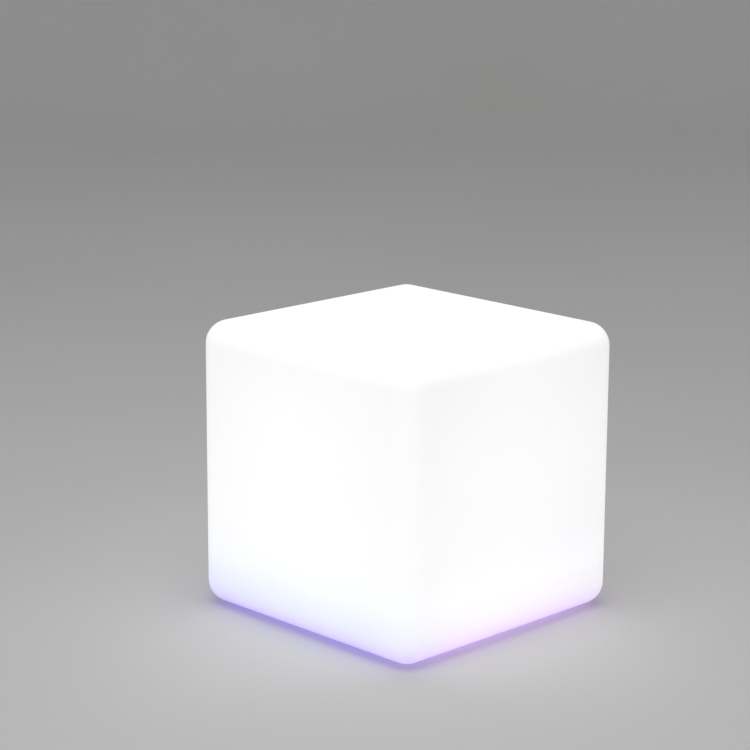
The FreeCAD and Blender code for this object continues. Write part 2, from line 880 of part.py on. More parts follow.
def dome_screws():
    screws(
        "dome_screws",
        dome_screw_places()[0],
        DOME_RIM_TOP,
        "small_screw_radius",
        "(dome_rim_thickness + dome_seal_thickness + small_screw_length * 0.75)",
        head_below=False,
    )


# ---------------------------------------------------------------------------
# Battery
# ---------------------------------------------------------------------------
def battery_tray():
    """A shelf hung from the housing's posts, with lips round the cells and strap slots."""
    tray = body("battery_tray")
    shelf = block(tray, TRAY_UNDERSIDE, "tray_thickness", TRAY_LENGTH, TRAY_WIDTH)
    round_upright(tray, shelf, "tray_margin")
    lips = sketch(tray, TRAY_TOP)
    slots = sketch(tray, TRAY_UNDERSIDE)
    for sign in ("", "-"):
        lip_x = f"{sign}({END_LIP_X} + lip_thickness / 2)"
        lip_y = f"{sign}({SIDE_LIP_Y} + lip_thickness / 2)"
        slot_y = f"{sign}({STRAP_Y} + strap_thickness / 2)"
        centred(lips, "lip_thickness", "end_lip_length", x=lip_x)
        centred(lips, "side_lip_length", "lip_thickness", y=lip_y)
        slot_width = "strap_thickness + 2 * hole_gap"
        centred(slots, "strap_width + 2 * hole_gap", slot_width, y=slot_y)
    pad(tray, lips, "lip_height")
    pocket(tray, slots, "tray_thickness")
    hole = "(small_screw_radius + hole_gap)"
    drill(tray, TRAY_UNDERSIDE, "tray_thickness", hole, tray_post_places())


def tray_screws():
    screws(
        "tray_screws",
        tray_post_places()[0],
        TRAY_UNDERSIDE,
        "small_screw_radius",
        "small_screw_length",
        head_below=True,
    )


def battery_cells():
    cells = body("battery_cells")
    drawing = sketch(cells, "-cell_length / 2", "YZ_Plane")
    for y in (f"-{CELL_SPACING}", "0", CELL_SPACING):
        circle(drawing, "cell_radius", y, CELL_AXIS)
    pad(cells, drawing, "cell_length")


def nickel_strips():
    strips = body("nickel_strips")
    for level in ("cell_length / 2", "-cell_length / 2 - strip_thickness"):
        drawing = sketch(strips, level, "YZ_Plane")
        centred(drawing, f"2 * {CELL_SPACING} + strip_width", "strip_width", y=CELL_AXIS)
        pad(strips, drawing, "strip_thickness")


def battery_board():
    board = body("battery_board")
    drawing = sketch(board, STRIP_FACE, "YZ_Plane")
    centred(drawing, "battery_board_width", "battery_board_height", y=CELL_AXIS)
    pad(board, drawing, "battery_board_thickness")


def battery_strap():
    """A band round the tray and the cells."""
    strap = body("battery_strap")
    drawing = sketch(strap, "-strap_width / 2", "YZ_Plane")
    low = f"({TRAY_UNDERSIDE} - fit_gap)"
    high = f"({CELL_AXIS} + cell_radius + fit_gap)"
    outer_y = f"({STRAP_Y} + strap_thickness)"
    rectangle(drawing, f"-{STRAP_Y}", low, STRAP_Y, high)
    rectangle(
        drawing,
        f"-{outer_y}",
        f"({low} - strap_thickness)",
        outer_y,
        f"({high} + strap_thickness)",
    )
    pad(strap, drawing, "strap_width")


# ---------------------------------------------------------------------------
# Controller
# ---------------------------------------------------------------------------
# middles of the connectors at the ends and the sides of the controller board
END_CONNECTOR_X = "(controller_length / 2 - connector_length / 2 - connector_inset)"
SIDE_CONNECTOR_Y = "(controller_width / 2 - connector_length / 2 - connector_inset)"
BATTERY_CONNECTOR_X = "(controller_length / 4)"


def controller_board():
    board = body("controller_board")
    size = ("board_thickness", "controller_length", "controller_width")
    block(board, CONTROLLER_UNDERSIDE, *size)
    hole = "(small_screw_radius + hole_gap)"
    places = controller_post_places()
    drill(board, CONTROLLER_UNDERSIDE, "board_thickness", hole, places)


def controller_screws():
    screws(
        "controller_screws",
        controller_post_places()[0],
        CONTROLLER_TOP,
        "small_screw_radius",
        "small_screw_length",
        head_below=False,
    )


def controller_parts():
    """Chips, coil and capacitors, a connector for each lead and the charge indicator."""
    parts = body("controller_parts")
    size = {
        "processor": ("processor_width", "processor_width", "processor_height"),
        "receiver": ("receiver_chip_width", "receiver_chip_width", "receiver_chip_height"),
        "driver": ("driver_length", "driver_width", "driver_height"),
        "coil": ("coil_width", "coil_width", "coil_height"),
    }
    middle = {
        "processor": ("-controller_length / 9", "controller_width / 8"),
        "receiver": ("-controller_length / 4", "-controller_width / 6"),
        "driver": ("controller_length / 6", "controller_width / 9"),
        "coil": ("controller_length * 2 / 7", "-controller_width / 6"),
    }
    for name, (length, width, height) in size.items():
        block(parts, CONTROLLER_TOP, height, length, width, *middle[name])
    capacitor_y = "-controller_width / 7"
    capacitors = [("controller_length / 14", capacitor_y), ("-controller_length / 28", capacitor_y)]
    studs(parts, CONTROLLER_TOP, "capacitor_height", "capacitor_radius", capacitors)
    length, width = "connector_length", "connector_width"
    for x in (END_CONNECTOR_X, f"-{END_CONNECTOR_X}"):
        block(parts, CONTROLLER_TOP, "connector_height", length, width, x)
    for x, y in (("0", f"-{SIDE_CONNECTOR_Y}"), (BATTERY_CONNECTOR_X, SIDE_CONNECTOR_Y)):
        block(parts, CONTROLLER_TOP, "connector_height", width, length, x, y)
    low = f"({CONTROLLER_UNDERSIDE} - indicator_height)"
    block(parts, low, "indicator_height", "indicator_length", "indicator_width", *LENS)


# ---------------------------------------------------------------------------
# Switch
# ---------------------------------------------------------------------------
def panel_nut(label, spot, thickness, barrel_radius):
    nut = body(label, *spot)
    drawing = sketch(nut, PLATE_TOP)
    hexagon(drawing, f"({barrel_radius} + nut_rim)")
    circle(drawing, f"{barrel_radius} + fit_gap")
    pad(nut, drawing, thickness)


def panel_seal(label, spot, head_radius, barrel_radius):
    """The seal between the plate and the head of what is mounted in it."""
    seal = body(label, *spot)
    outer = f"{head_radius} - hole_gap"
    inner = f"{barrel_radius} + hole_gap"
    ring(seal, PANEL_SEAT, "panel_seal_thickness", outer, inner)


def button_housing():
    housing = body("button_housing", *SWITCH)
    bore = "(button_radius + fit_gap)"
    shape = turned(
        housing,
        [
            (bore, BEZEL_UNDERSIDE),
            (BEZEL_RADIUS, BEZEL_UNDERSIDE),
            (BEZEL_RADIUS, PANEL_SEAT),
            (SWITCH_BARREL, PANEL_SEAT),
            (SWITCH_BARREL, SWITCH_TOP),
            (SWITCH_CHAMBER, SWITCH_TOP),
            (SWITCH_CHAMBER, SWITCH_STOP),
            (bore, SWITCH_STOP),
        ],
    )
    ease(housing, shape, "bezel_thickness / 3", radius=BEZEL_RADIUS, height=BEZEL_UNDERSIDE)


def button_contacts():
    """The plug in the top of the switch, with its two terminals."""
    contacts = body("button_contacts", *SWITCH)
    plug = f"({SWITCH_CHAMBER} - fit_gap)"
    turned(
        contacts,
        [
            ("0", CONTACT_FACE),
            (plug, CONTACT_FACE),
            (plug, SWITCH_TOP),
            (SWITCH_BARREL, SWITCH_TOP),
            (SWITCH_BARREL, CONTACT_TOP),
            ("0", CONTACT_TOP),
        ],
    )
    terminals = [("0", "terminal_spacing / 2"), ("0", "-terminal_spacing / 2")]
    studs(contacts, CONTACT_TOP, "terminal_length", "terminal_radius", terminals)


def power_button():
    """The button at rest: its collar is on the housing's step and its face is proud."""
    button = body("power_button", *SWITCH)
    low = f"({BEZEL_UNDERSIDE} - button_proud)"
    collar = f"({SWITCH_CHAMBER} - 2 * fit_gap)"
    stem_top = f"({CONTACT_FACE} - button_travel - hole_gap)"
    shape = turned(
        button,
        [
            ("0", low),
            ("button_radius", low),
            ("button_radius", COLLAR_UNDERSIDE),
            (collar, COLLAR_UNDERSIDE),
            (collar, COLLAR_TOP),
            ("button_stem_radius", COLLAR_TOP),
            ("button_stem_radius", stem_top),
            ("0", stem_top),
        ],
    )
    ease(button, shape, "button_proud / 3", radius="button_radius", height=low)


def coil_path(radius, low, high, turns):
    """A helix about the Z axis, as quarter-turn arcs."""
    quarters = 4 * turns

    def spot(quarter):
        turn = math.pi / 2 * quarter
        rise = (high - low) * quarter / quarters
        return Vector(radius * math.cos(turn), radius * math.sin(turn), low + rise)

    arcs = [Part.Arc(spot(k), spot(k + 0.5), spot(k + 1)).toShape() for k in range(quarters)]
    return Part.Wire(arcs)


def tube(path, radius):
    """A round solid along a path of lines and arcs, with its volume compared."""
    start = path.Edges[0]
    first = start.FirstParameter
    mouth = Part.makeCircle(radius, start.valueAt(first), start.tangentAt(first))
    solid = path.makePipeShell([Part.Wire([mouth])], True, False)
    expected = math.pi * radius ** 2 * path.Length
    print(f"  length {path.Length:.1f} mm, volume over section times length", end=" ")
    print(f"{solid.Volume / expected:.4f}")
    return solid


def button_spring():
    wire = value("spring_wire_radius")
    turns = SIZES["spring_turns"]
    low = value(COLLAR_TOP) + wire
    high = value(CONTACT_FACE) - wire
    print(f"button_spring, least gap between turns {(high - low) / turns - 2 * wire:.2f} mm")
    coil = coil_path(value("spring_radius"), low, high, turns)
    ready_part("button_spring", tube(coil, wire), *SWITCH)


# ---------------------------------------------------------------------------
# Charging socket and its cover
# ---------------------------------------------------------------------------
def charge_socket():
    socket = body("charge_socket", *SOCKET)
    shape = turned(
        socket,
        [
            ("socket_bore_radius", SOCKET_UNDERSIDE),
            (SOCKET_HEAD_RADIUS, SOCKET_UNDERSIDE),
            (SOCKET_HEAD_RADIUS, PANEL_SEAT),
            (SOCKET_BARREL, PANEL_SEAT),
            (SOCKET_BARREL, SOCKET_TOP),
            ("socket_bore_radius", SOCKET_TOP),
        ],
    )
    corner = "socket_head_thickness / 4"
    ease(socket, shape, corner, radius=SOCKET_HEAD_RADIUS, height=SOCKET_UNDERSIDE)


def socket_insulator():
    insulator = body("socket_insulator", *SOCKET)
    plug = "(socket_bore_radius - fit_gap)"
    hole = f"({PIN_ROOT_RADIUS} + fit_gap)"
    turned(
        insulator,
        [
            (hole, SOCKET_FLOOR),
            (plug, SOCKET_FLOOR),
            (plug, SOCKET_TOP),
            (SOCKET_BARREL, SOCKET_TOP),
            (SOCKET_BARREL, INSULATOR_TOP),
            (hole, INSULATOR_TOP),
        ],
    )


def socket_pin():
    """The contact in the middle of the socket, with a thicker root in the insulator."""
    pin = body("socket_pin", *SOCKET)
    tip = f"({SOCKET_UNDERSIDE} + socket_pin_recess)"
    tail = f"({INSULATOR_TOP} + socket_pin_tail)"
    bevel = "(socket_pin_radius / 3)"
    turned(
        pin,
        [
            ("0", tip),
            (f"(socket_pin_radius - {bevel})", tip),
            ("socket_pin_radius", f"({tip} + {bevel})"),
            ("socket_pin_radius", SOCKET_FLOOR),
            (PIN_ROOT_RADIUS, SOCKET_FLOOR),
            (PIN_ROOT_RADIUS, tail),
            ("0", tail),
        ],
    )


def socket_tabs():
    tabs = body("socket_tabs", *SOCKET)
    drawing = sketch(tabs, INSULATOR_TOP)
    for sign in ("", "-"):
        centred(drawing, "tab_thickness", "tab_width", x=f"{sign}tab_spacing / 2")
    pad(tabs, drawing, "tab_height")


def port_cover():
    """The cover at rest over the socket. Its own axis is its pivot."""
    cover = body("port_cover", *COVER_PIVOT)
    thickness = "cover_thickness"
    disc(cover, COVER_UNDERSIDE, thickness, "cover_radius", y="-cover_arm")
    disc(cover, COVER_UNDERSIDE, thickness, "cover_boss_radius")
    neck = ("cover_neck_width", "cover_arm")
    block(cover, COVER_UNDERSIDE, thickness, *neck, y="-cover_arm / 2")
    bore = "(cover_shoulder_radius + fit_gap)"
    drill(cover, COVER_UNDERSIDE, thickness, bore, [MIDDLE])
    rib_level = f"({COVER_UNDERSIDE} - cover_rib_height)"
    rib = ("cover_rib_height", "cover_rib_length", "cover_rib_width")
    rib_y = "(2 * cover_rib_width - cover_arm - cover_radius)"
    block(cover, rib_level, *rib, y=rib_y)


def cover_washer():
    washer = body("cover_washer", *COVER_PIVOT)
    outer = "cover_boss_radius - fit_gap"
    inner = "cover_shoulder_radius + fit_gap"
    ring(washer, WASHER_UNDERSIDE, "cover_washer_thickness", outer, inner)


def cover_screw():
    """A shoulder screw: the cover turns on the shoulder, which stops on the boss."""
    pivot = body("cover_screw", *COVER_PIVOT)
    low = f"({WASHER_UNDERSIDE} - cover_head_height)"
    bevel = "(cover_head_height / 3)"
    thread_end = f"({COVER_BOSS_UNDERSIDE} + cover_thread_length)"
    turned(
        pivot,
        [
            ("0", low),
            (f"(cover_head_radius - {bevel})", low),
            ("cover_head_radius", f"({low} + {bevel})"),
            ("cover_head_radius", WASHER_UNDERSIDE),
            ("cover_shoulder_radius", WASHER_UNDERSIDE),
            ("cover_shoulder_radius", COVER_BOSS_UNDERSIDE),
            ("housing_screw_radius", COVER_BOSS_UNDERSIDE),
            ("housing_screw_radius", thread_end),
            ("0", thread_end),
        ],
    )
    drive = sketch(pivot, low)
    plus_sign(drive, "cover_head_radius", *MIDDLE)
    pocket(pivot, drive, "cover_head_height / 2")


# ---------------------------------------------------------------------------
# Charge lamp and vent
# ---------------------------------------------------------------------------
def charge_lamp_lens():
    """A light pipe from the indicator on the controller to the plate's underside."""
    lens = body("charge_lamp_lens", *LENS)
    low = f"({PLATE_UNDERSIDE} - lens_head_thickness)"
    high = f"({CONTROLLER_UNDERSIDE} - indicator_height - seat_gap)"
    shape = turned(
        lens,
        [
            ("0", low),
            ("lens_head_radius", low),
            ("lens_head_radius", PLATE_UNDERSIDE),
            ("lens_radius", PLATE_UNDERSIDE),
            ("lens_radius", high),
            ("0", high),
        ],
    )
    ease(lens, shape, "lens_head_thickness / 2", radius="lens_head_radius", height=low)


def pressure_vent():
    """A snap-in vent that lets the lamp unit breathe and keeps water out."""
    vent = body("pressure_vent", *VENT)
    low = f"({PLATE_UNDERSIDE} - vent_head_thickness)"
    snap = f"({PLATE_TOP} + fit_gap)"
    end = f"({snap} + 6 * vent_barb)"
    shape = turned(
        vent,
        [
            ("0", low),
            ("vent_head_radius", low),
            ("vent_head_radius", PLATE_UNDERSIDE),
            ("vent_shank_radius", PLATE_UNDERSIDE),
            ("vent_shank_radius", snap),
            ("(vent_shank_radius + vent_barb)", f"({snap} + vent_barb)"),
            ("(vent_shank_radius - vent_barb)", end),
            ("vent_bore_radius", end),
            ("vent_bore_radius", PLATE_UNDERSIDE),
            ("0", PLATE_UNDERSIDE),
        ],
    )
    ease(vent, shape, "vent_head_thickness / 3", radius="vent_head_radius", height=low)


# ---------------------------------------------------------------------------
# Leads, each held by the two pieces that it joins
# ---------------------------------------------------------------------------
def rounded_path(points):
    """Straight runs through the points, joined by arcs as large as the runs allow."""
    share = 0.45  # of the shorter run, that an arc takes up on each side of its corner
    pieces = []
    radii = []
    last = points[0]
    for before, corner, after in zip(points, points[1:], points[2:]):
        back = (before - corner).normalize()
        ahead = (after - corner).normalize()
        reach = share * min((before - corner).Length, (after - corner).Length)
        half_turn = (math.pi - back.getAngle(ahead)) / 2
        radius = reach / math.tan(half_turn)
        entry = corner + back * reach
        leaving = corner + ahead * reach
        middle = corner + (back + ahead).normalize() * (radius / math.cos(half_turn) - radius)
        pieces.append(Part.LineSegment(last, entry).toShape())
        pieces.append(Part.Arc(entry, middle, leaving).toShape())
        radii.append(radius)
        last = leaving
    pieces.append(Part.LineSegment(last, points[-1]).toShape())
    print("  radii", ", ".join(f"{radius:.1f}" for radius in radii))
    return Part.Wire(pieces)


def lead(label, points):
    print(label)
    path = rounded_path([Vector(*point) for point in points])
    ready_part(label, tube(path, value("lead_radius")))


def port_height():
    return value(CONTROLLER_TOP) + value("connector_height") / 2


def end_lead(label, start_x, start_z):
    """A lead that climbs round an end of the controller board to its connector."""
    sign = math.copysign(1, start_x)
    port_x = value(END_CONNECTOR_X) + value("connector_length") / 2
    board_end = value("controller_length") / 2
    under = value(CONTROLLER_UNDERSIDE) - 2 * value("lead_radius")
    points = [
        (start_x, 0, start_z),
        (start_x + sign * 2.6, 0, start_z + 0.6 * (under - start_z)),
        (sign * (board_end + 1.5), 0, under),
        (sign * (board_end + 9), 0, under + 0.4),
        (sign * (board_end + 9), 0, port_height()),
        (sign * port_x, 0, port_height()),
    ]
    lead(label, points)


def light_lead():
    """From the controller up through the ceiling to the light board."""
    port_y = value(SIDE_CONNECTOR_Y) + value("connector_length") / 2
    hole_y = value(BOARD_SCREW_CIRCLE)
    points = [
        (0, -port_y, port_height()),
        (0, -port_y - 7, port_height()),
        (0, -hole_y + 1.5, port_height() + 8),
        (0, -hole_y - 1.5, port_height() + 18),
        (0, -hole_y, value(HOUSING_CEILING) - 8),
        (0, -hole_y, value(LIGHT_BOARD_TOP)),
    ]
    lead("light_lead", points)


def battery_lead():
    """From the battery's board over the tray's end and down to the controller."""
    port_y = value(SIDE_CONNECTOR_Y) + value("connector_length") / 2
    port_x = value(BATTERY_CONNECTOR_X)
    tray_end = value(TRAY_LENGTH) / 2
    cell_z = value(CELL_AXIS)
    points = [
        (value(BATTERY_BOARD_FACE), 12, cell_z + 2),
        (value(END_LIP_X) + 4.5, 12, cell_z + 2),
        (tray_end + 5.5, 15, cell_z - 7),
        (tray_end + 5, port_y - 5, port_height() + 3),
        (tray_end - 3, port_y + 5, port_height()),
        (port_x + 9, port_y + 8, port_height()),
        (port_x, port_y + 6.5, port_height()),
        (port_x, port_y, port_height()),
    ]
    lead("battery_lead", points)


def leads():
    end_lead("switch_lead", value("control_offset"), value(f"{CONTACT_TOP} + terminal_length"))
    end_lead("socket_lead", -value("control_offset"), value(f"{INSULATOR_TOP} + tab_height"))
    light_lead()
    battery_lead()


# ---------------------------------------------------------------------------
# Build, check and write
# ---------------------------------------------------------------------------
def check_objects():
    """Stop if any object failed, any cut missed or any sub-part's shape is bad."""
    for item in doc.Objects:
        if {"Invalid", "Error"} & set(item.State):
            raise RuntimeError(f"{item.Label} failed: {item.State}")
        if item.TypeId in ("PartDesign::Pocket", "PartDesign::Groove"):
            if item.Shape.Volume > item.BaseFeature.Shape.Volume - 1e-6:
                raise RuntimeError(f"{item.Label} cuts nothing")
    for part in kept:
        if part.Shape.isNull() or not part.Shape.isValid():
            raise RuntimeError(f"{part.Label} has no valid shape")


def write_parts():
    os.makedirs("parts", exist_ok=True)
    for part in kept:
        part.Shape.exportStep(f"parts/{part.Label}.step")
        box = part.Shape.BoundBox
        print(
            f"{part.Label:19s} {len(part.Shape.Solids):2d} solids",
            f"{part.Shape.Volume / 1000:9.3f} cm3",
            f" x {box.XMin:7.2f} {box.XMax:7.2f}  y {box.YMin:7.2f} {box.YMax:7.2f}",
            f" z {box.ZMin:7.2f} {box.ZMax:7.2f}",
        )


cube_shell()
rubber_feet()
screw_inserts()
base_plate()
plate_gasket()
plate_screws()
housing_seal()
lamp_housing()
housing_screws()
light_disc("heat_spreader", HOUSING_TOP, "spreader_thickness", SPREADER_RADIUS)
light_disc("light_board", SPREADER_TOP, "board_thickness", LIGHT_BOARD_RADIUS)
light_board_screws()
light_chips()
remote_receiver()
dome_seal()
diffuser_dome()
dome_screws()
battery_tray()
tray_screws()
battery_cells()
nickel_strips()
battery_board()
battery_strap()
controller_board()
controller_screws()
controller_parts()
button_housing()
panel_seal("button_seal", SWITCH, BEZEL_RADIUS, SWITCH_BARREL)
panel_nut("button_nut", SWITCH, "switch_nut_thickness", SWITCH_BARREL)
button_contacts()
power_button()
button_spring()
charge_socket()
panel_seal("socket_seal", SOCKET, SOCKET_HEAD_RADIUS, SOCKET_BARREL)
panel_nut("socket_nut", SOCKET, "socket_nut_thickness", SOCKET_BARREL)
socket_insulator()
socket_pin()
socket_tabs()
port_cover()
cover_washer()
cover_screw()
charge_lamp_lens()
pressure_vent()
leads()
doc.recompute()
check_objects()
write_parts()
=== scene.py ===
# %% [markdown]
# # A glowing cube seat for the garden
#
# The real object is a hollow cube of milky polyethylene, about 40 cm wide, that glows all over.
# It stands on four rubber feet, and a sealed lamp unit is bolted up into a round recess in its
# underside. The pieces that carry, fasten and move are already made as solids, in metres, in
# one shared frame: +Z is up and the floor is at zero. This script dresses them: it gives each
# one the finish of what it is made of, and models again, with more detail, the pieces whose
# plain solid would look too simple.

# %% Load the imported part
import json
import math

import bmesh
import bpy
from mathutils import Matrix, Vector


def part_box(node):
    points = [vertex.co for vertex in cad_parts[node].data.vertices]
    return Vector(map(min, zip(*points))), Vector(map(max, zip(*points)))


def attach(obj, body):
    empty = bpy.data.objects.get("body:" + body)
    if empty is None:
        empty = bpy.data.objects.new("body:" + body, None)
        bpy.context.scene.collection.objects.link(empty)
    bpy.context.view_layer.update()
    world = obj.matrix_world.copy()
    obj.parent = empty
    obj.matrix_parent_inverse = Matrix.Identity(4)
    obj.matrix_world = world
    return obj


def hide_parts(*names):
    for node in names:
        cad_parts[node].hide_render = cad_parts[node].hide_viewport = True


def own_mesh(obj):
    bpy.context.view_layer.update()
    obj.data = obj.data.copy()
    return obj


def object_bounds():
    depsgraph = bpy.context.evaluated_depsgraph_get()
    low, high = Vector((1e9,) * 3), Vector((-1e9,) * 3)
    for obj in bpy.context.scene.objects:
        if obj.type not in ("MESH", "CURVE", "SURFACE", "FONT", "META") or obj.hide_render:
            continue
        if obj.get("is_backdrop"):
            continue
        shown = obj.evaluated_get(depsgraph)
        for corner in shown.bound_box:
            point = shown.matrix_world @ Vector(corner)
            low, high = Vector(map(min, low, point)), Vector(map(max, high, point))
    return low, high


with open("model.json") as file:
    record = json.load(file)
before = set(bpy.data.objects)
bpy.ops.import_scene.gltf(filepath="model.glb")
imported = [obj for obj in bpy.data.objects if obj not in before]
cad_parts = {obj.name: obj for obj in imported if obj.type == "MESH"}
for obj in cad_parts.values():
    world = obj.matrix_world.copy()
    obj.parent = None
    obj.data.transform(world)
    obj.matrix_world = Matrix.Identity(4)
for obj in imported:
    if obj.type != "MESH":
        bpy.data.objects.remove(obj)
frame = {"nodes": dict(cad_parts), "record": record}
cad_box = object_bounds()
nodes = frame["nodes"]
print("solids loaded:", len(nodes), "box", [tuple(round(v, 4) for v in c) for c in cad_box])

# %% [markdown]
# ## Small tools for shapes
#
# Sizes are in metres, so a millimetre is a named value and a length reads as `4 * MM`.
# A few helpers come up again and again. `turned` works as a lathe does: it spins a profile
# round an upright axis. `block` makes a box with eased edges, because nothing moulded or
# sawn has a perfectly sharp corner, and `slab` makes one from the spans that it fills.

# %% Turn a profile, ease an edge, make a block
MM = 0.001
MERGED_WITHIN = 1e-3 * MM
TOUCHING = 0.01 * MM


def turned(profile, x=0.0, y=0.0, steps=64, work=None):
    """Spins points of (radius, height), in order, round the upright axis at x, y."""
    work = work or bmesh.new()
    points = [work.verts.new((x + radius, y, height)) for radius, height in profile]
    edges = [work.edges.new(pair) for pair in zip(points, points[1:])]
    bmesh.ops.spin(
        work,
        geom=points + edges,
        cent=(x, y, 0),
        axis=(0, 0, 1),
        angle=math.tau,
        steps=steps,
        use_merge=True,
    )
    return work


def eased(work, geom, radius, steps, affect="EDGES"):
    """Rounds edges by a radius, or corners where affect is VERTICES."""
    bmesh.ops.bevel(
        work,
        geom=geom,
        offset=radius,
        segments=steps,
        profile=0.5,
        affect=affect,
        material=-1,
    )


def block(low, high, ease=0.0, steps=2, work=None):
    """A box between two corners, its edges eased by a radius."""
    work = work or bmesh.new()
    low, high = Vector(low), Vector(high)
    made = bmesh.ops.create_cube(work, size=1)["verts"]
    bmesh.ops.scale(work, vec=high - low, verts=made)
    bmesh.ops.translate(work, vec=(low + high) / 2, verts=made)
    if ease:
        edges = dict.fromkeys(edge for vert in made for edge in vert.link_edges)
        eased(work, list(edges), ease, steps)
    return work


def slab(work, x, y, z, **easing):
    """A block that fills three spans, each given as its two ends in either order."""
    low, high = zip(*(sorted(span) for span in (x, y, z)))
    return block(low, high, work=work, **easing)


def about(place, half):
    """The span that reaches half a width to either side of a place."""
    return place - half, place + half


# %% [markdown]
# The next helpers are for whole pieces. A bmesh can't take in another one directly, so
# `joined` sends it through a mesh. `finished` closes the work: it merges the doubles that
# spinning leaves, points the faces outwards and hands the mesh to the body it moves with.

# %% Find a face, join two works, finish a piece
SMOOTH_BELOW = math.radians(32)
LEVEL_DIGITS = 6


def top_face(work):
    """The highest face of a work, and the largest where several lie level."""
    return max(
        work.faces,
        key=lambda face: (round(face.calc_center_median().z, LEVEL_DIGITS), face.calc_area()),
    )


def joined(whole, work):
    """Adds a work to a larger one, by way of a mesh that is then let go."""
    mesh = bpy.data.meshes.new("joined")
    work.to_mesh(mesh)
    work.free()
    whole.from_mesh(mesh)
    bpy.data.meshes.remove(mesh)


def finished(name, work, material, body="cube", stands_for=()):
    """Makes a piece of the work, in its place, riding on a body."""
    bmesh.ops.remove_doubles(work, verts=work.verts, dist=MERGED_WITHIN)
    bmesh.ops.recalc_face_normals(work, faces=work.faces)
    mesh = bpy.data.meshes.new(name)
    work.to_mesh(mesh)
    work.free()
    mesh.shade_smooth()
    mesh.set_sharp_from_angle(angle=SMOOTH_BELOW)
    mesh.materials.append(material)
    piece = bpy.data.objects.new(name, mesh)
    bpy.context.scene.collection.objects.link(piece)
    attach(piece, body)
    if stands_for:
        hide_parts(*stands_for)
    print(f"{name}: {len(mesh.polygons)} faces, {[round(v / MM, 1) for v in piece.dimensions]} mm")
    return piece


def middle(node):
    """The middle of a solid's box."""
    low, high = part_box(node)
    return (low + high) / 2

# %% [markdown]
# ## Small tools for finishes
#
# A material is a small network of nodes. Colours are written as the hex codes that a colour
# picker shows, and one function turns them into the linear values that light is worked out
# in. One function adds a node, sets it up and links what it is given, and one starts a
# material.


# %% Colours and nodes
def linear(code):
    """A linear colour, with alpha, from an sRGB hex code such as #F4F3F6."""
    channels = [int(code[k : k + 2], 16) / 255 for k in (1, 3, 5)]
    curved = [c / 12.92 if c <= 0.04045 else ((c + 0.055) / 1.055) ** 2.4 for c in channels]
    return (*curved, 1.0)


def add(tree, kind, inputs=None, stops=None, **settings):
    """Adds a node. An input is given a value, or another node's output to link to."""
    node = tree.nodes.new("ShaderNode" + kind)
    for setting, value in settings.items():
        setattr(node, setting, value)
    for socket, value in (inputs or {}).items():
        if isinstance(value, bpy.types.NodeSocket):
            tree.links.new(value, node.inputs[socket])
        else:
            node.inputs[socket].default_value = value
    for number, (position, code) in enumerate(stops or []):
        ramp = node.color_ramp.elements
        stop = ramp[number] if number < 2 else ramp.new(position)
        stop.position = position
        stop.color = linear(code)
    return node


def new_finish(name, color=None, **sockets):
    """A material whose shader's own sockets hold what is the same all over."""
    material = bpy.data.materials.new(name)
    material.use_nodes = True
    tree = material.node_tree
    shader = tree.nodes["Principled BSDF"]
    if color:
        shader.inputs["Base Color"].default_value = linear(color)
    for socket, value in sockets.items():
        shader.inputs[socket.replace("_", " ")].default_value = value
    return material, tree, shader


# %% [markdown]
# Surfaces have a few things in common, and each has a recipe: a colour that drifts a little,
# a skin with a grain that catches light, and a gloss that varies from place to place. They
# all read Object coordinates, which stay with the piece from every side, and their scales
# are real sizes.


# %% Recipes for drift, grain and gloss
def patches(tree, width, detail, stretch):
    """Noise in patches of a width, drawn out along an axis where the stretch is small."""
    where = add(tree, "TexCoord").outputs["Object"]
    laid = add(tree, "Mapping", {"Vector": where, "Scale": stretch}).outputs["Vector"]
    noise = add(tree, "TexNoise", {"Vector": laid, "Scale": 1 / width, "Detail": detail})
    return noise.outputs["Fac"]


def drift(tree, width, stops, stretch=(1, 1, 1), detail=3.0):
    """A colour that drifts between stops over patches of a width."""
    noise = patches(tree, width, detail, stretch)
    return add(tree, "ValToRGB", {"Fac": noise}, stops=stops).outputs["Color"]


def tint(tree, shader, width, stops, socket="Base Color", **drifting):
    """Gives one of the shader's colours a drift."""
    tree.links.new(drift(tree, width, stops, **drifting), shader.inputs[socket])


def grain(tree, shader, width, depth, stretch=(1, 1, 1), under=None):
    """A skin with a grain of a width and a depth, laid over another one where that is given."""
    noise = patches(tree, width, 2.0, stretch)
    inputs = {"Height": noise, "Distance": depth, "Strength": 1.0}
    if under:
        inputs["Normal"] = under
    skin = add(tree, "Bump", inputs).outputs["Normal"]
    tree.links.new(skin, shader.inputs["Normal"])
    return skin


def patchy_gloss(tree, shader, width, low, high, stretch=(1, 1, 1)):
    """A roughness that varies between two values, as handling and polishing leave it."""
    noise = patches(tree, width, 4.0, stretch)
    spread = {"Value": noise, "From Min": 0.3, "From Max": 0.7, "To Min": low, "To Max": high}
    rough = add(tree, "MapRange", spread)
    tree.links.new(rough.outputs["Result"], shader.inputs["Roughness"])
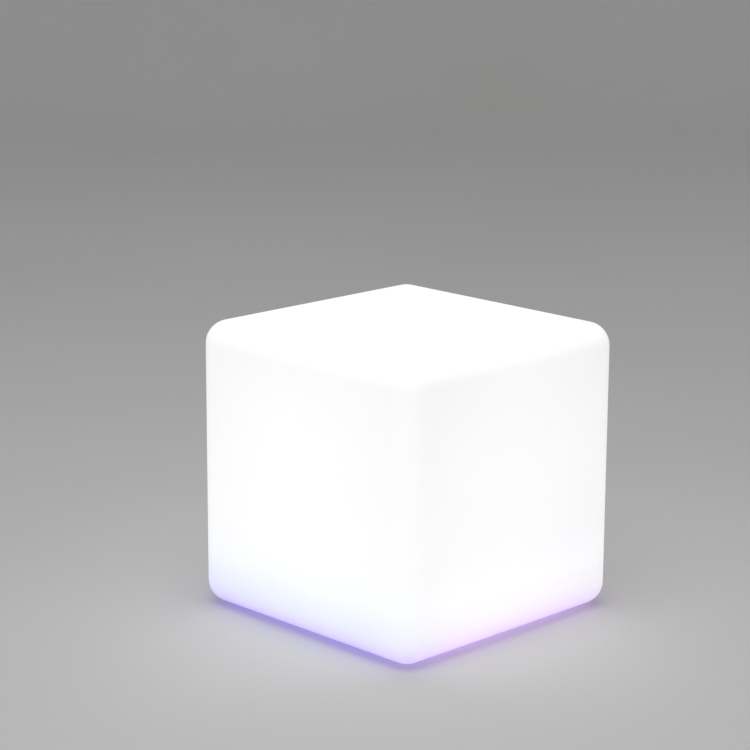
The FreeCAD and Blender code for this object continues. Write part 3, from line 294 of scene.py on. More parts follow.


# %% [markdown]
# ## The glowing polyethylene
#
# The cube is rotomoulded: powder melts onto the walls of a turning mould and leaves an even
# milky skin with a faint orange-peel surface. Lit from inside it is brighter than its
# surroundings all over, so in a photograph it is all but white. Only close to the ground
# does the light fall off, and there it turns lavender on one side and a paler pink on the
# other.
#
# The glow could be real light scattered through the wall, but that takes a great many samples to look
# smooth. The wall is given its own emission instead, so its glow is painted light. Its colour is a
# gradient up the height, one for each side, blended where the sides meet, and its fall-off close to the
# ground is painted shade. Towards the edges it is a little dimmer than in the middles of the faces, a
# painted shade which keeps the form just visible, and it is painted a little brighter and dimmer in
# faint patches, where a milky wall lets through more and less light.

# %% Glowing polyethylene
CUBE_MIDDLE = Vector((0, 0, 201 * MM))
GLOW_FADES_BELOW = 130 * MM
# Painted light: the glow's colour up the height. Close to the ground it falls off as painted shade,
# lavender on one side and pink on the other.
GLOW_LEFT = [(0.1, "#8E82C9"), (0.2, "#A9A5D4"), (0.36, "#B4BDCF"), (0.6, "#C6CBCF"), (1.0, "#CCCCCC")]
GLOW_RIGHT = [(0.1, "#B399D0"), (0.2, "#C5B4D5"), (0.36, "#CDC8CF"), (0.6, "#D1D1D2"), (1.0, "#CCCCCC")]
SIDES_BLEND = 120 * MM
GLOW_PATCH_WIDTH = 140 * MM
FACE_DISTANCE = 200 * MM
CORNER_DISTANCE = 330 * MM
CORNER_GLOW = 0.86
ORANGE_PEEL = 7 * MM
PEEL_DEPTH = 0.05 * MM
MATT_GRAIN = 0.5 * MM
MATT_DEPTH = 0.01 * MM


def glow_colour(tree):
    """A painted glow: a gradient up the height, one for each side, dimmer towards the cube's edges and
    faintly patchy.
    """
    where = add(tree, "TexCoord").outputs["Object"]
    parts = add(tree, "SeparateXYZ", {"Vector": where}).outputs
    height = add(tree, "MapRange", {"Value": parts["Z"], "From Max": GLOW_FADES_BELOW})
    left = add(tree, "ValToRGB", {"Fac": height.outputs["Result"]}, stops=GLOW_LEFT)
    right = add(tree, "ValToRGB", {"Fac": height.outputs["Result"]}, stops=GLOW_RIGHT)
    across = add(tree, "Math", {0: parts["X"], 1: parts["Y"]}, operation="ADD")
    reach = {"Value": across.outputs["Value"], "From Min": -SIDES_BLEND, "From Max": SIDES_BLEND}
    side = add(tree, "MapRange", reach, interpolation_type="SMOOTHSTEP")
    sides = {0: side.outputs["Result"], 6: left.outputs["Color"], 7: right.outputs["Color"]}
    glow = add(tree, "Mix", sides, data_type="RGBA").outputs[2]
    # Painted shade: the glow is dimmer towards the cube's edges and corners.
    far = add(tree, "VectorMath", {0: where, 1: CUBE_MIDDLE}, operation="DISTANCE").outputs["Value"]
    fall = {"Value": far, "From Min": FACE_DISTANCE, "From Max": CORNER_DISTANCE, "To Min": 1.0}
    dimming = add(tree, "MapRange", {**fall, "To Max": CORNER_GLOW}).outputs["Result"]
    # Painted light: faint patches of brighter and dimmer glow, where a milky wall lets through more and
    # less light.
    glow_patches = drift(tree, GLOW_PATCH_WIDTH, [(0.3, "#FBFBFC"), (0.7, "#FFFFFF")])
    for shade in (dimming, glow_patches):
        product = {0: 1.0, 6: glow, 7: shade}
        glow = add(tree, "Mix", product, data_type="RGBA", blend_type="MULTIPLY").outputs[2]
    return glow


def glowing_polyethylene():
    material, tree, shader = new_finish(
        "glowing_polyethylene", "#F4F3F6", Roughness=0.42, IOR=1.51, Emission_Strength=1.0
    )
    tree.links.new(glow_colour(tree), shader.inputs["Emission Color"])
    peel = grain(tree, shader, ORANGE_PEEL, PEEL_DEPTH)
    grain(tree, shader, MATT_GRAIN, MATT_DEPTH, under=peel)
    return material

# %% [markdown]
# ## The cube's shell
#
# The shell is one skin, 4 mm thick. It could be cut from a solid block with booleans, but
# a skin is how a mould makes it, so it is modelled as one: a cube whose edges are rounded
# by a bevel, a square window opened in its underside, and the recess spun as on a lathe and
# bridged to that window. Only then does the skin get its thickness. The walls of a moulded
# cube draw in a little between their edges as they cool, so the four sides are drawn in
# by half a millimetre.

# %% Shell: the outer skin
shell_low, shell_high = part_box("cube_shell")
gasket_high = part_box("plate_gasket")[1]
plate_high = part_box("base_plate")[1]
feet_low, feet_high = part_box("rubber_feet")

WALL = 4 * MM
EDGE_RADIUS = 32 * MM
EDGE_STEPS = 12
GRID = 12
WINDOW_CELLS = 4
SINK = 0.5 * MM
SIDE = shell_high.x - shell_low.x
FLAT = SIDE - 2 * EDGE_RADIUS
CELL = FLAT / GRID


def drawn_in(work):
    """Draws the four sides in, most in their middles."""
    half = SIDE / 2
    middle_height = (shell_low.z + shell_high.z) / 2
    for vert in work.verts:
        for axis, other in ((0, 1), (1, 0)):
            if abs(abs(vert.co[axis]) - half) > TOUCHING:
                continue
            along = math.cos(math.pi * vert.co[other] / FLAT)
            upward = math.cos(math.pi * (vert.co.z - middle_height) / FLAT)
            depth = SINK * max(0, along) * max(0, upward)
            vert.co[axis] -= math.copysign(depth, vert.co[axis])


def outer_skin():
    work = block(shell_low, shell_high, ease=EDGE_RADIUS, steps=EDGE_STEPS)
    long_edges = [edge for edge in work.edges if edge.calc_length() > FLAT / 2]
    bmesh.ops.subdivide_edges(work, edges=long_edges, cuts=GRID - 1, use_grid_fill=True)
    reach = WINDOW_CELLS * CELL
    window = []
    for face in work.faces:
        x, y, z = face.calc_center_median()
        if z < shell_low.z + TOUCHING and max(abs(x), abs(y)) < reach:
            window.append(face)
    bmesh.ops.delete(work, geom=window, context="FACES")
    drawn_in(work)
    return work


# %% [markdown]
# The recess has a rounded lip where fingers reach in, walls that lean out a little so that
# the mould lets go, and a flat ledge on which the base plate seals. Its radii follow from
# the plate that it takes.

# %% Shell: the recess
PLATE_GAP = 5.5 * MM
RECESS_TAPER = 1.5 * MM
LIP = 2.5 * MM
INNER_CORNER = 2 * MM
NECK_RADIUS = 66 * MM
RECESS_STEPS = 96
CEILING_RADIUS = plate_high.x + PLATE_GAP
MOUTH_RADIUS = CEILING_RADIUS + RECESS_TAPER
LEDGE = gasket_high.z


def quarter(middle_radius, middle_height, radius, start, steps=6):
    """Points of a quarter circle in a profile, from a start angle in degrees, clockwise."""
    angles = [math.radians(start - 90 * k / steps) for k in range(steps + 1)]
    return [
        (middle_radius + radius * math.cos(a), middle_height + radius * math.sin(a)) for a in angles
    ]


def shell_skin():
    work = outer_skin()
    lip = quarter(MOUTH_RADIUS + LIP, shell_low.z + LIP, LIP, start=270)
    corner = quarter(CEILING_RADIUS - INNER_CORNER, LEDGE - INNER_CORNER, INNER_CORNER, start=90)
    profile = lip + corner[::-1] + [(NECK_RADIUS, LEDGE)]
    turned(profile, steps=RECESS_STEPS, work=work)
    bmesh.ops.remove_doubles(work, verts=work.verts, dist=MERGED_WITHIN)
    rims = [
        edge
        for edge in work.edges
        if edge.is_boundary and edge.verts[0].co.z < shell_low.z + TOUCHING
    ]
    bmesh.ops.bridge_loops(work, edges=rims)
    return work


# %% [markdown]
# Two jobs are easier for a modifier than for bmesh: giving a skin an even wall, and cutting
# one closed shape out of another. Each is applied at once, so the piece stays a plain mesh.


# %% Apply modifiers, cut and join
def apply_modifiers(piece):
    """Makes what the modifiers show into the piece's own mesh."""
    graph = bpy.context.evaluated_depsgraph_get()
    mesh = bpy.data.meshes.new_from_object(piece.evaluated_get(graph))
    piece.modifiers.clear()
    piece.data = mesh


def cut_or_joined(piece, work, operation):
    """Cuts a helper shape out of a piece, or joins it on."""
    mesh = bpy.data.meshes.new("helper")
    bmesh.ops.recalc_face_normals(work, faces=work.faces)
    work.to_mesh(mesh)
    work.free()
    helper = bpy.data.objects.new("helper", mesh)
    bpy.context.scene.collection.objects.link(helper)
    change = piece.modifiers.new(operation.lower(), "BOOLEAN")
    change.operation = operation
    change.object = helper
    change.solver = "EXACT"
    bpy.context.view_layer.update()
    apply_modifiers(piece)
    bpy.data.objects.remove(helper)


# %% [markdown]
# The skin gets its wall first. Then the bosses round the brass inserts are joined on, and
# the holes for the inserts and the shallow sockets for the feet are cut.

# %% Shell: the whole piece
INSERT_CIRCLE = 78 * MM
INSERT_COUNT = 6
INSERT_HOLE = 3.55 * MM
BOSS_RADIUS = 7 * MM
ROD_STEPS = 32
FOOT_RADIUS = 11 * MM
FOOT_GAP = 0.2 * MM
FOOT_PLACE = feet_high.x - FOOT_RADIUS
insert_low, insert_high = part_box("screw_inserts")
insert_angles = [math.tau * k / INSERT_COUNT for k in range(INSERT_COUNT)]
insert_places = [(INSERT_CIRCLE * math.cos(a), INSERT_CIRCLE * math.sin(a)) for a in insert_angles]
foot_places = [(x * FOOT_PLACE, y * FOOT_PLACE) for x in (-1, 1) for y in (-1, 1)]


def rods(places, radius, low, high):
    """Closed round rods at several places."""
    work = bmesh.new()
    for x, y in places:
        turned([(0, low), (radius, low), (radius, high), (0, high)], x, y, ROD_STEPS, work)
    bmesh.ops.remove_doubles(work, verts=work.verts, dist=MERGED_WITHIN)
    return work


def make_shell(material):
    shell = finished("cube_skin", shell_skin(), material, stands_for=["cube_shell"])
    wall = shell.modifiers.new("wall", "SOLIDIFY")
    wall.thickness = WALL
    wall.offset = -1
    wall.use_even_offset = True
    bpy.context.view_layer.update()
    apply_modifiers(shell)
    boss_top = insert_high.z + WALL
    cut_or_joined(shell, rods(insert_places, BOSS_RADIUS, LEDGE + WALL / 2, boss_top), "UNION")
    hole_low = LEDGE - WALL
    cut_or_joined(shell, rods(insert_places, INSERT_HOLE, hole_low, insert_high.z), "DIFFERENCE")
    socket = rods(foot_places, FOOT_RADIUS + FOOT_GAP, 0, feet_high.z)
    cut_or_joined(shell, socket, "DIFFERENCE")
    shell.data.shade_smooth()
    shell.data.set_sharp_from_angle(angle=SMOOTH_BELOW)
    print("shell:", len(shell.data.polygons), "faces")
    return shell


shell = make_shell(glowing_polyethylene())

# %% [markdown]
# ## Rubber feet
#
# The feet are moulded thermoplastic rubber: nearly black, matt, with a fine skin, and dusty
# where they meet the ground.


# %% Foot rubber
DUST = 0.55


def moulded_rubber(name, code, dusty_below=None):
    material, tree, shader = new_finish(name, code, Roughness=0.78, IOR=1.52)
    worn = drift(tree, 9 * MM, [(0.35, code), (0.75, "#3A3938")], detail=5.0)
    if dusty_below:
        where = add(tree, "TexCoord").outputs["Object"]
        height = add(tree, "SeparateXYZ", {"Vector": where}).outputs["Z"]
        fading = {"Value": height, "From Max": dusty_below, "To Min": DUST, "To Max": 0.0}
        dust = add(tree, "MapRange", fading).outputs["Result"]
        dusted = {0: dust, 6: worn, 7: linear("#6B675F")}
        worn = add(tree, "Mix", dusted, data_type="RGBA").outputs[2]
    tree.links.new(worn, shader.inputs["Base Color"])
    grain(tree, shader, 0.6 * MM, 0.03 * MM)
    return material


# %% [markdown]
# A plain disc would look like a stand-in, so each foot is turned with a rounded rim and
# three shallow grip grooves in its face. One profile serves all four.

# %% Feet
GROOVE_RADII = [3 * MM, 5.5 * MM, 8 * MM]
GROOVE_DEPTH = 0.5 * MM
GROOVE_WIDTH = 1.0 * MM
GROOVE_TAPER = 0.6
FOOT_BEVEL = 1 * MM


def foot_profile():
    """From the middle of the foot's face, over its grooves, to its top."""
    low, high = feet_low.z, feet_high.z
    profile = [(0, low)]
    half = GROOVE_WIDTH / 2
    for groove in GROOVE_RADII:
        profile += [
            (groove - half, low),
            (groove - half * GROOVE_TAPER, low + GROOVE_DEPTH),
            (groove + half * GROOVE_TAPER, low + GROOVE_DEPTH),
            (groove + half, low),
        ]
    rim = quarter(FOOT_RADIUS - FOOT_BEVEL, low + FOOT_BEVEL, FOOT_BEVEL, start=0, steps=4)
    return profile + rim[::-1] + [(FOOT_RADIUS, high), (0, high)]


def make_feet(material):
    work = bmesh.new()
    for x, y in foot_places:
        turned(foot_profile(), x, y, steps=48, work=work)
    return finished("grip_feet", work, material, stands_for=["rubber_feet"])


make_feet(moulded_rubber("foot_rubber", "#1E1D1D", dusty_below=2.5 * MM))

# %% [markdown]
# ## Threaded inserts
#
# Six brass inserts are moulded into the ledge. A real one is turned from bar and knurled, so
# that the plastic grips it. Turning leaves fine rings and a gloss that varies round them.


# %% Turned brass
TARNISH = 0.25


def turned_metal(name, code, low, high, width=0.25 * MM):
    """Bright metal with the fine rings that a lathe leaves, drawn wider than they are."""
    material, tree, shader = new_finish(name, code, Metallic=1.0)
    tarnish = drift(tree, 5 * MM, [(0.3, code), (0.8, "#8E8578")], stretch=(1, 1, 6))
    shade = {0: TARNISH, 6: linear(code), 7: tarnish}
    shaded = add(tree, "Mix", shade, data_type="RGBA").outputs[2]
    tree.links.new(shaded, shader.inputs["Base Color"])
    patchy_gloss(tree, shader, 2 * MM, low, high, stretch=(1, 1, 8))
    grain(tree, shader, width, 0.01 * MM, stretch=(0.2, 0.2, 1))
    return material


# %% [markdown]
# The knurl is modelled, because a bump would leave the outline smooth. The outside is spun
# with two steps for each tooth, and every other column of points is drawn in.

# %% Inserts
INSERT_RADIUS = 3.5 * MM
KNURL_TEETH = 28
KNURL_DEPTH = 0.35 * MM
THREAD_RADIUS = 2.05 * MM
COLLAR = 1.2 * MM
WAIST_HALF = 0.5 * MM
WAIST_SLOPE = 0.3 * MM
LEAD_IN = 0.5 * MM


def insert_profile():
    """From the bore's lower end, over the collar, the knurl and its waist, and back."""
    low, high = insert_low.z, insert_high.z
    waist = INSERT_RADIUS - 2 * KNURL_DEPTH
    centre = (low + high) / 2
    return [
        (THREAD_RADIUS, low),
        (INSERT_RADIUS, low),
        (INSERT_RADIUS, low + COLLAR),
        (INSERT_RADIUS, centre - WAIST_HALF - WAIST_SLOPE),
        (waist, centre - WAIST_HALF),
        (waist, centre + WAIST_HALF),
        (INSERT_RADIUS, centre + WAIST_HALF + WAIST_SLOPE),
        (INSERT_RADIUS, high - COLLAR / 2),
        (INSERT_RADIUS - LEAD_IN, high),
        (THREAD_RADIUS, high),
        (THREAD_RADIUS, low),
    ]


def knurled(work):
    """Draws in every other column of points between the collar and the upper end."""
    knurl_low = insert_low.z + COLLAR / 2
    knurl_high = insert_high.z - COLLAR / 4
    for vert in work.verts:
        away = min((vert.co.xy - Vector(place) for place in insert_places), key=lambda way: way.length)
        column = round(math.atan2(away.y, away.x) / math.tau * 2 * KNURL_TEETH)
        outside = away.length > INSERT_RADIUS - TOUCHING
        if column % 2 and outside and knurl_low < vert.co.z < knurl_high:
            vert.co.xy -= away.normalized() * KNURL_DEPTH


def make_inserts(material):
    work = bmesh.new()
    for x, y in insert_places:
        turned(insert_profile(), x, y, steps=2 * KNURL_TEETH, work=work)
    knurled(work)
    return finished("knurled_inserts", work, material, stands_for=["screw_inserts"])


make_inserts(turned_metal("turned_brass", "#C7A253", 0.24, 0.38))

# %% [markdown]
# ## The finishes of the plate, the seals and the screws
#
# The base plate and the little cover are moulded ABS with the even, slightly sparkling skin
# that a spark-eroded mould gives. A bump of two grain sizes shows it better than one: the
# coarse grain breaks up the highlight and the fine one makes it matt. The switch is the same
# plastic from a polished mould, so it keeps a gloss. Seals are silicone rubber. Screws are
# stainless steel, whose thread was rolled and whose head was pressed, so it is bright and
# only faintly scratched.


# %% Moulded plastics, rubber and steel
def moulded_plastic(name, code, paler, low, high, width=0.5 * MM, depth=0.02 * MM):
    """Plastic from a mould: a colour that drifts a little, a patchy gloss and a fine grain."""
    material, tree, shader = new_finish(name, code, IOR=1.53)
    tint(tree, shader, 18 * MM, [(0.3, code), (0.8, paler)])
    patchy_gloss(tree, shader, 6 * MM, low, high)
    coarse = grain(tree, shader, width, depth)
    grain(tree, shader, width / 4, depth / 4, under=coarse)
    return material


def stainless_steel():
    material, tree, shader = new_finish("stainless_steel", "#C9C7C2", Metallic=1.0)
    tint(tree, shader, 1.5 * MM, [(0.3, "#B9B6B0"), (0.7, "#D2D0CB")], detail=6.0)
    patchy_gloss(tree, shader, 0.8 * MM, 0.22, 0.4)
    grain(tree, shader, 0.3 * MM, 0.006 * MM)
    return material


textured_abs = moulded_plastic("textured_abs", "#17181A", "#232427", 0.52, 0.66)
gloss_abs = moulded_plastic("gloss_abs", "#0E0E10", "#17171A", 0.16, 0.26, depth=0.004 * MM)
white_abs = moulded_plastic("white_abs", "#E4E3DF", "#EEEDEA", 0.38, 0.5, depth=0.01 * MM)
red_abs = moulded_plastic("red_abs", "#A81A1C", "#BC2A28", 0.24, 0.36, depth=0.008 * MM)
vent_nylon = moulded_plastic("vent_nylon", "#1C1D1F", "#28292C", 0.5, 0.62)
natural_nylon = moulded_plastic("natural_nylon", "#DAD6C8", "#E6E2D6", 0.42, 0.52)
thermoset = moulded_plastic("moulded_thermoset", "#1F1C1B", "#2B2725", 0.45, 0.6)
silicone = moulded_rubber("silicone_rubber", "#2C2C2E")
wire_rubber = moulded_rubber("wire_insulation", "#211F20")
steel = stainless_steel()
nickel_plate = turned_metal("nickel_plated_brass", "#D3D0C6", 0.16, 0.28)
contact_gold = turned_metal("plated_contact", "#D2AE66", 0.2, 0.32)

# %% [markdown]
# ## The finishes of the electronics
#
# A printed board's solder resist is a thin glossy lacquer over copper, so its tracks show as
# slightly raised lines of a paler tone. Two sets of bands, laid across each other and each
# kept only where a coarse noise is high, give such tracks. On the round light board they are
# rings, because they join lights that stand in circles.


# %% Boards
RING_PITCH = 6 * MM
TRACK_PITCH = 2 * MM
TRACK_HEIGHT = 0.04 * MM
TRACK_PATCH = 9 * MM
# At a scale of 1, a wave node draws a line every 0.314 m.
WAVE_PITCH = 0.314
LINE_EDGES = (0.62, 0.68)
PATCH_EDGES = (0.47, 0.5)
rings = {"wave_type": "RINGS", "rings_direction": "Z"}
lengthways = {"wave_type": "BANDS", "bands_direction": "Y"}
crossways = {"wave_type": "BANDS", "bands_direction": "X"}


def above(tree, value, edges):
    """Nothing under the lower edge and all of it over the upper one."""
    cut = {"Value": value, "From Min": edges[0], "From Max": edges[1]}
    return add(tree, "MapRange", cut).outputs["Result"]


def solder_resist(name, code, over_track, layouts, pitch):
    """Lacquer over copper tracks: each layout is a set of lines, kept only in patches."""
    material, tree, shader = new_finish(name, code, Roughness=0.28, IOR=1.55, Coat_Weight=0.3)
    where = add(tree, "TexCoord").outputs["Object"]
    tracks = 0.0
    for number, layout in enumerate(layouts):
        lines = add(tree, "TexWave", {"Vector": where, "Scale": WAVE_PITCH / pitch}, **layout)
        sharp = above(tree, lines.outputs["Fac"], LINE_EDGES)
        patch = {"Vector": where, "W": 4.0 * number, "Scale": 1 / TRACK_PATCH, "Detail": 0.0}
        patchy = add(tree, "TexNoise", patch, noise_dimensions="4D")
        kept = above(tree, patchy.outputs["Fac"], PATCH_EDGES)
        one = add(tree, "Math", {0: sharp, 1: kept}, operation="MULTIPLY").outputs["Value"]
        tracks = add(tree, "Math", {0: tracks, 1: one}, operation="MAXIMUM").outputs["Value"]
    colours = {0: tracks, 6: linear(code), 7: linear(over_track)}
    colour = add(tree, "Mix", colours, data_type="RGBA").outputs[2]
    tree.links.new(colour, shader.inputs["Base Color"])
    raised = add(tree, "Bump", {"Height": tracks, "Distance": TRACK_HEIGHT})
    tree.links.new(raised.outputs["Normal"], shader.inputs["Normal"])
    return material


white_board = solder_resist("white_solder_resist", "#E9E8E2", "#F4F3EE", [rings], RING_PITCH)
green_board = solder_resist(
    "green_solder_resist", "#14502B", "#1F6A38", [lengthways, crossways], TRACK_PITCH
)

# %% [markdown]
# The light chips are lit: each is a white case filled with clear resin in which a yellow
# phosphor turns blue light white, so seen when lit it is a warm, very bright yellow-white.
# The dome over them is opal polycarbonate, satin outside, and glows evenly: its glow is painted light,
# an emission in place of the chips' light shining through it.


# %% Lit and clear materials
def lit_phosphor():
    material, tree, shader = new_finish(
        "lit_phosphor", "#EBCB5A", Roughness=0.2, IOR=1.5, Emission_Strength=2.5
    )
    tint(tree, shader, 0.9 * MM, [(0.25, "#FFE9A8"), (0.75, "#FFF6D8")], "Emission Color")
    grain(tree, shader, 0.3 * MM, 0.01 * MM)
    return material


def glowing_opal_polycarbonate():
    # Painted light: the dome's own emission stands in for the chips' light shining through it.
    material, tree, shader = new_finish(
        "glowing_opal_polycarbonate", "#F1F1F1", Roughness=0.35, IOR=1.58, Emission_Strength=0.35
    )
    tint(tree, shader, 30 * MM, [(0.3, "#ECECF4"), (0.7, "#FFFFFF")], "Emission Color")
    grain(tree, shader, 0.4 * MM, 0.008 * MM)
    return material


def clear_acrylic():
    material, tree, shader = new_finish("clear_acrylic", "#EDF2F1", IOR=1.49, Transmission_Weight=0.9)
    patchy_gloss(tree, shader, 1.5 * MM, 0.04, 0.12)
    grain(tree, shader, 0.8 * MM, 0.004 * MM)
    return material


def infrared_resin():
    material, tree, shader = new_finish("infrared_resin", "#150D12", IOR=1.55, Coat_Weight=0.5)
    tint(tree, shader, 2 * MM, [(0.3, "#120A10"), (0.7, "#21131A")])
    patchy_gloss(tree, shader, 1 * MM, 0.08, 0.18)
    return material


phosphor = lit_phosphor()
opal = glowing_opal_polycarbonate()
clear = clear_acrylic()
dark_resin = infrared_resin()

# %% [markdown]
# ## The finishes of the battery
#
# Cells come wrapped in a blue shrink sleeve, glossy with faint ripples where it shrank. The strips
# welded to their ends are plain nickel. The strap is woven nylon: warp and weft are two sets of waves,
# and the one that lies on top casts the bump and is painted lighter, with painted shade in the gaps
# between the threads. The heat spreader is rolled aluminium sheet, with the fine lines of rolling all
# one way.


# %% Sleeve, strip, sheet and webbing
def shrink_sleeve():
    material, tree, shader = new_finish("shrink_sleeve", "#1F5FA8", IOR=1.54, Coat_Weight=0.2)
    tint(tree, shader, 14 * MM, [(0.3, "#1B5699"), (0.7, "#2467B4")])
    patchy_gloss(tree, shader, 4 * MM, 0.2, 0.34)
    grain(tree, shader, 5 * MM, 0.06 * MM, stretch=(0.3, 1, 1))
    return material


def rolled_metal(name, code, paler, low, high):
    """Sheet metal, with the lines of rolling along X."""
    material, tree, shader = new_finish(name, code, Metallic=1.0)
    tint(tree, shader, 8 * MM, [(0.3, code), (0.7, paler)], stretch=(0.1, 1, 1))
    patchy_gloss(tree, shader, 1 * MM, low, high, stretch=(0.05, 1, 1))
    grain(tree, shader, 0.35 * MM, 0.01 * MM, stretch=(0.04, 1, 1))
    return material


WEAVE_PITCH = 0.9 * MM
THREAD_HEIGHT = 0.15 * MM


def woven_nylon():
    material, tree, shader = new_finish("woven_nylon", "#17171A", Roughness=0.82, IOR=1.53)
    where = add(tree, "TexCoord").outputs["Object"]
    size = {"Vector": where, "Scale": WAVE_PITCH / WEAVE_PITCH, "Distortion": 0.3, "Detail": 1.0}
    warp = add(tree, "TexWave", size, wave_type="BANDS", bands_direction="X").outputs["Fac"]
    weft = add(tree, "TexWave", size, wave_type="BANDS", bands_direction="Y").outputs["Fac"]
    over = add(tree, "Math", {0: warp, 1: weft}, operation="MAXIMUM").outputs["Value"]
    # Painted shade and light: darker in the gaps between the threads, lighter on the threads that lie
    # on top.
    shade = add(tree, "ValToRGB", {"Fac": over}, stops=[(0.35, "#0C0C0E"), (0.9, "#2E2E33")])
    tree.links.new(shade.outputs["Color"], shader.inputs["Base Color"])
    raised = add(tree, "Bump", {"Height": over, "Distance": THREAD_HEIGHT})
    tree.links.new(raised.outputs["Normal"], shader.inputs["Normal"])
    return material


sleeve = shrink_sleeve()
nickel = rolled_metal("nickel_strip", "#B9B4A8", "#CFCABE", 0.22, 0.34)
aluminium = rolled_metal("rolled_aluminium", "#C4C6C9", "#DBDCDE", 0.3, 0.45)
spring_wire = rolled_metal("drawn_spring_wire", "#8F9094", "#A9AAAD", 0.25, 0.36)
webbing = woven_nylon()
print("finishes made:", len(bpy.data.materials))

# %% [markdown]
# ## Dress the solids that stay
#
# The record says which finish each solid has, by the name of a slot. A table from slot to
# material is all that is needed: whatever solid the record lists is dressed by it, and a
# slot that is missing from the table stops the script at once.

# %% From slot to material
finish_of = {
    "shell_plastic": shell.data.materials[0],
    "foot_rubber": bpy.data.materials["foot_rubber"],
    "insert_brass": bpy.data.materials["turned_brass"],
    "plate_plastic": textured_abs,
    "seal_rubber": silicone,
    "screw_steel": steel,
    "housing_plastic": white_abs,
    "spreader_aluminium": aluminium,
    "lamp_board": white_board,
    "chip_phosphor": phosphor,
    "receiver_resin": dark_resin,
    "dome_plastic": opal,
    "cell_can": sleeve,
    "strip_nickel": nickel,
    "green_board": green_board,
    "strap_fabric": webbing,
    "component_black": thermoset,
    "switch_plastic": gloss_abs,
    "button_plastic": red_abs,
    "contact_plastic": thermoset,
    "spring_steel": spring_wire,
    "socket_metal": nickel_plate,
    "contact_brass": contact_gold,
    "washer_nylon": natural_nylon,
    "clear_lens": clear,
    "vent_plastic": vent_nylon,
    "lead_insulation": wire_rubber,
}
for part in frame["record"]["subparts"]:
    nodes[part["node"]].material_slots[0].material = finish_of[part["material_slot"]]

# %% [markdown]
# ## The button and its spring
#
# The button is what a hand meets, so it gets the shape that such a button has: a dished face
# with a rounded rim and a small raised dot in the middle that a finger finds in the dark.
# Behind it are the collar that keeps it in its housing and the stem on which the spring
# sits. It is turned as one piece and rides on the button's own body.

# %% Button
button_low, button_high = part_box("power_button")
BUTTON_RADIUS = 4.6 * MM
BUTTON_RIM = 0.7 * MM
DISH_DEPTH = 0.45 * MM
DISH_RADII = [1.4 * MM, 2.1 * MM, 2.8 * MM, 3.4 * MM]
DOT_RADIUS = 0.7 * MM
DOT_HEIGHT = 0.3 * MM
DOT_SHOULDER = 0.25 * MM
COLLAR_RADIUS = 5.1 * MM
COLLAR_LOW = 18.05 * MM
COLLAR_HIGH = 19.55 * MM
STEM_RADIUS = 2 * MM
button_middle = middle("power_button")
BUTTON_X, BUTTON_Y = button_middle.x, button_middle.y


def make_button():
    low = button_low.z
    face = low + DISH_DEPTH
    dot = [(0, face - DOT_HEIGHT), (DOT_RADIUS * 0.6, face - DOT_SHOULDER), (DOT_RADIUS, face)]
    reach = BUTTON_RADIUS - BUTTON_RIM
    dish = [(radius, low + DISH_DEPTH * (1 - (radius / reach) ** 2)) for radius in DISH_RADII]
    rim = quarter(reach, low + BUTTON_RIM, BUTTON_RIM, start=0, steps=5)[::-1]
    back = [
        (BUTTON_RADIUS, COLLAR_LOW),
        (COLLAR_RADIUS, COLLAR_LOW),
        (COLLAR_RADIUS, COLLAR_HIGH),
        (STEM_RADIUS, COLLAR_HIGH),
        (STEM_RADIUS, button_high.z),
        (0, button_high.z),
    ]
    work = turned(dot + dish + rim + back, BUTTON_X, BUTTON_Y)
    finished("button_cap", work, red_abs, "button", ["power_button"])


make_button()

# %% [markdown]
# The spring is wound from hard drawn wire. Blender's spin does exactly that when it is given
# a step to rise by: a small circle is spun five times round the axis and lifted as it goes.
# When the button is pressed, the spring is squeezed against the contacts above it, but the modelled one
# keeps its shape and rides on the cube.

# %% Spring
spring_low, spring_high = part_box("button_spring")
WIRE_RADIUS = 0.35 * MM
SPRING_RADIUS = 3.4 * MM
SPRING_TURNS = 5
STEPS_PER_TURN = 32
WIRE_SIDES = 10


def make_spring():
    work = bmesh.new()
    length = spring_high.z - spring_low.z - 2 * WIRE_RADIUS
    steps = SPRING_TURNS * STEPS_PER_TURN
    circle = {"cap_ends": False, "radius": WIRE_RADIUS, "segments": WIRE_SIDES}
    wire = bmesh.ops.create_circle(work, **circle)["verts"]
    bmesh.ops.rotate(work, verts=wire, matrix=Matrix.Rotation(math.pi / 2, 3, "X"))
    start = (BUTTON_X + SPRING_RADIUS, BUTTON_Y, spring_low.z + WIRE_RADIUS)
    bmesh.ops.translate(work, vec=start, verts=wire)
    bmesh.ops.spin(
        work,
        geom=wire + work.edges[:],
        cent=(BUTTON_X, BUTTON_Y, 0),
        axis=(0, 0, 1),
        angle=math.tau * SPRING_TURNS,
        steps=steps,
        dvec=(0, 0, length / steps),
    )
    ends = [edge for edge in work.edges if edge.is_boundary]
    bmesh.ops.holes_fill(work, edges=ends, sides=0)
    spring = finished("coil_spring", work, spring_wire, stands_for=["button_spring"])
    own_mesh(spring)


make_spring()

# %% [markdown]
# ## The cover and the breather cap
#
# The little cover swings aside from the charging socket on a screw. Its solid has square
# edges, and a moulded piece has none, so it is modelled again. Joining a disc, an arm and a
# boss would leave crossing faces, so the outline is made first: two circles, opened where
# the arm leaves them and joined by its two edges. It is filled round the bore, drawn up to
# its thickness, and every sharp edge is eased. Three fine ridges give a fingertip its hold.
# It rides on the body that swings.

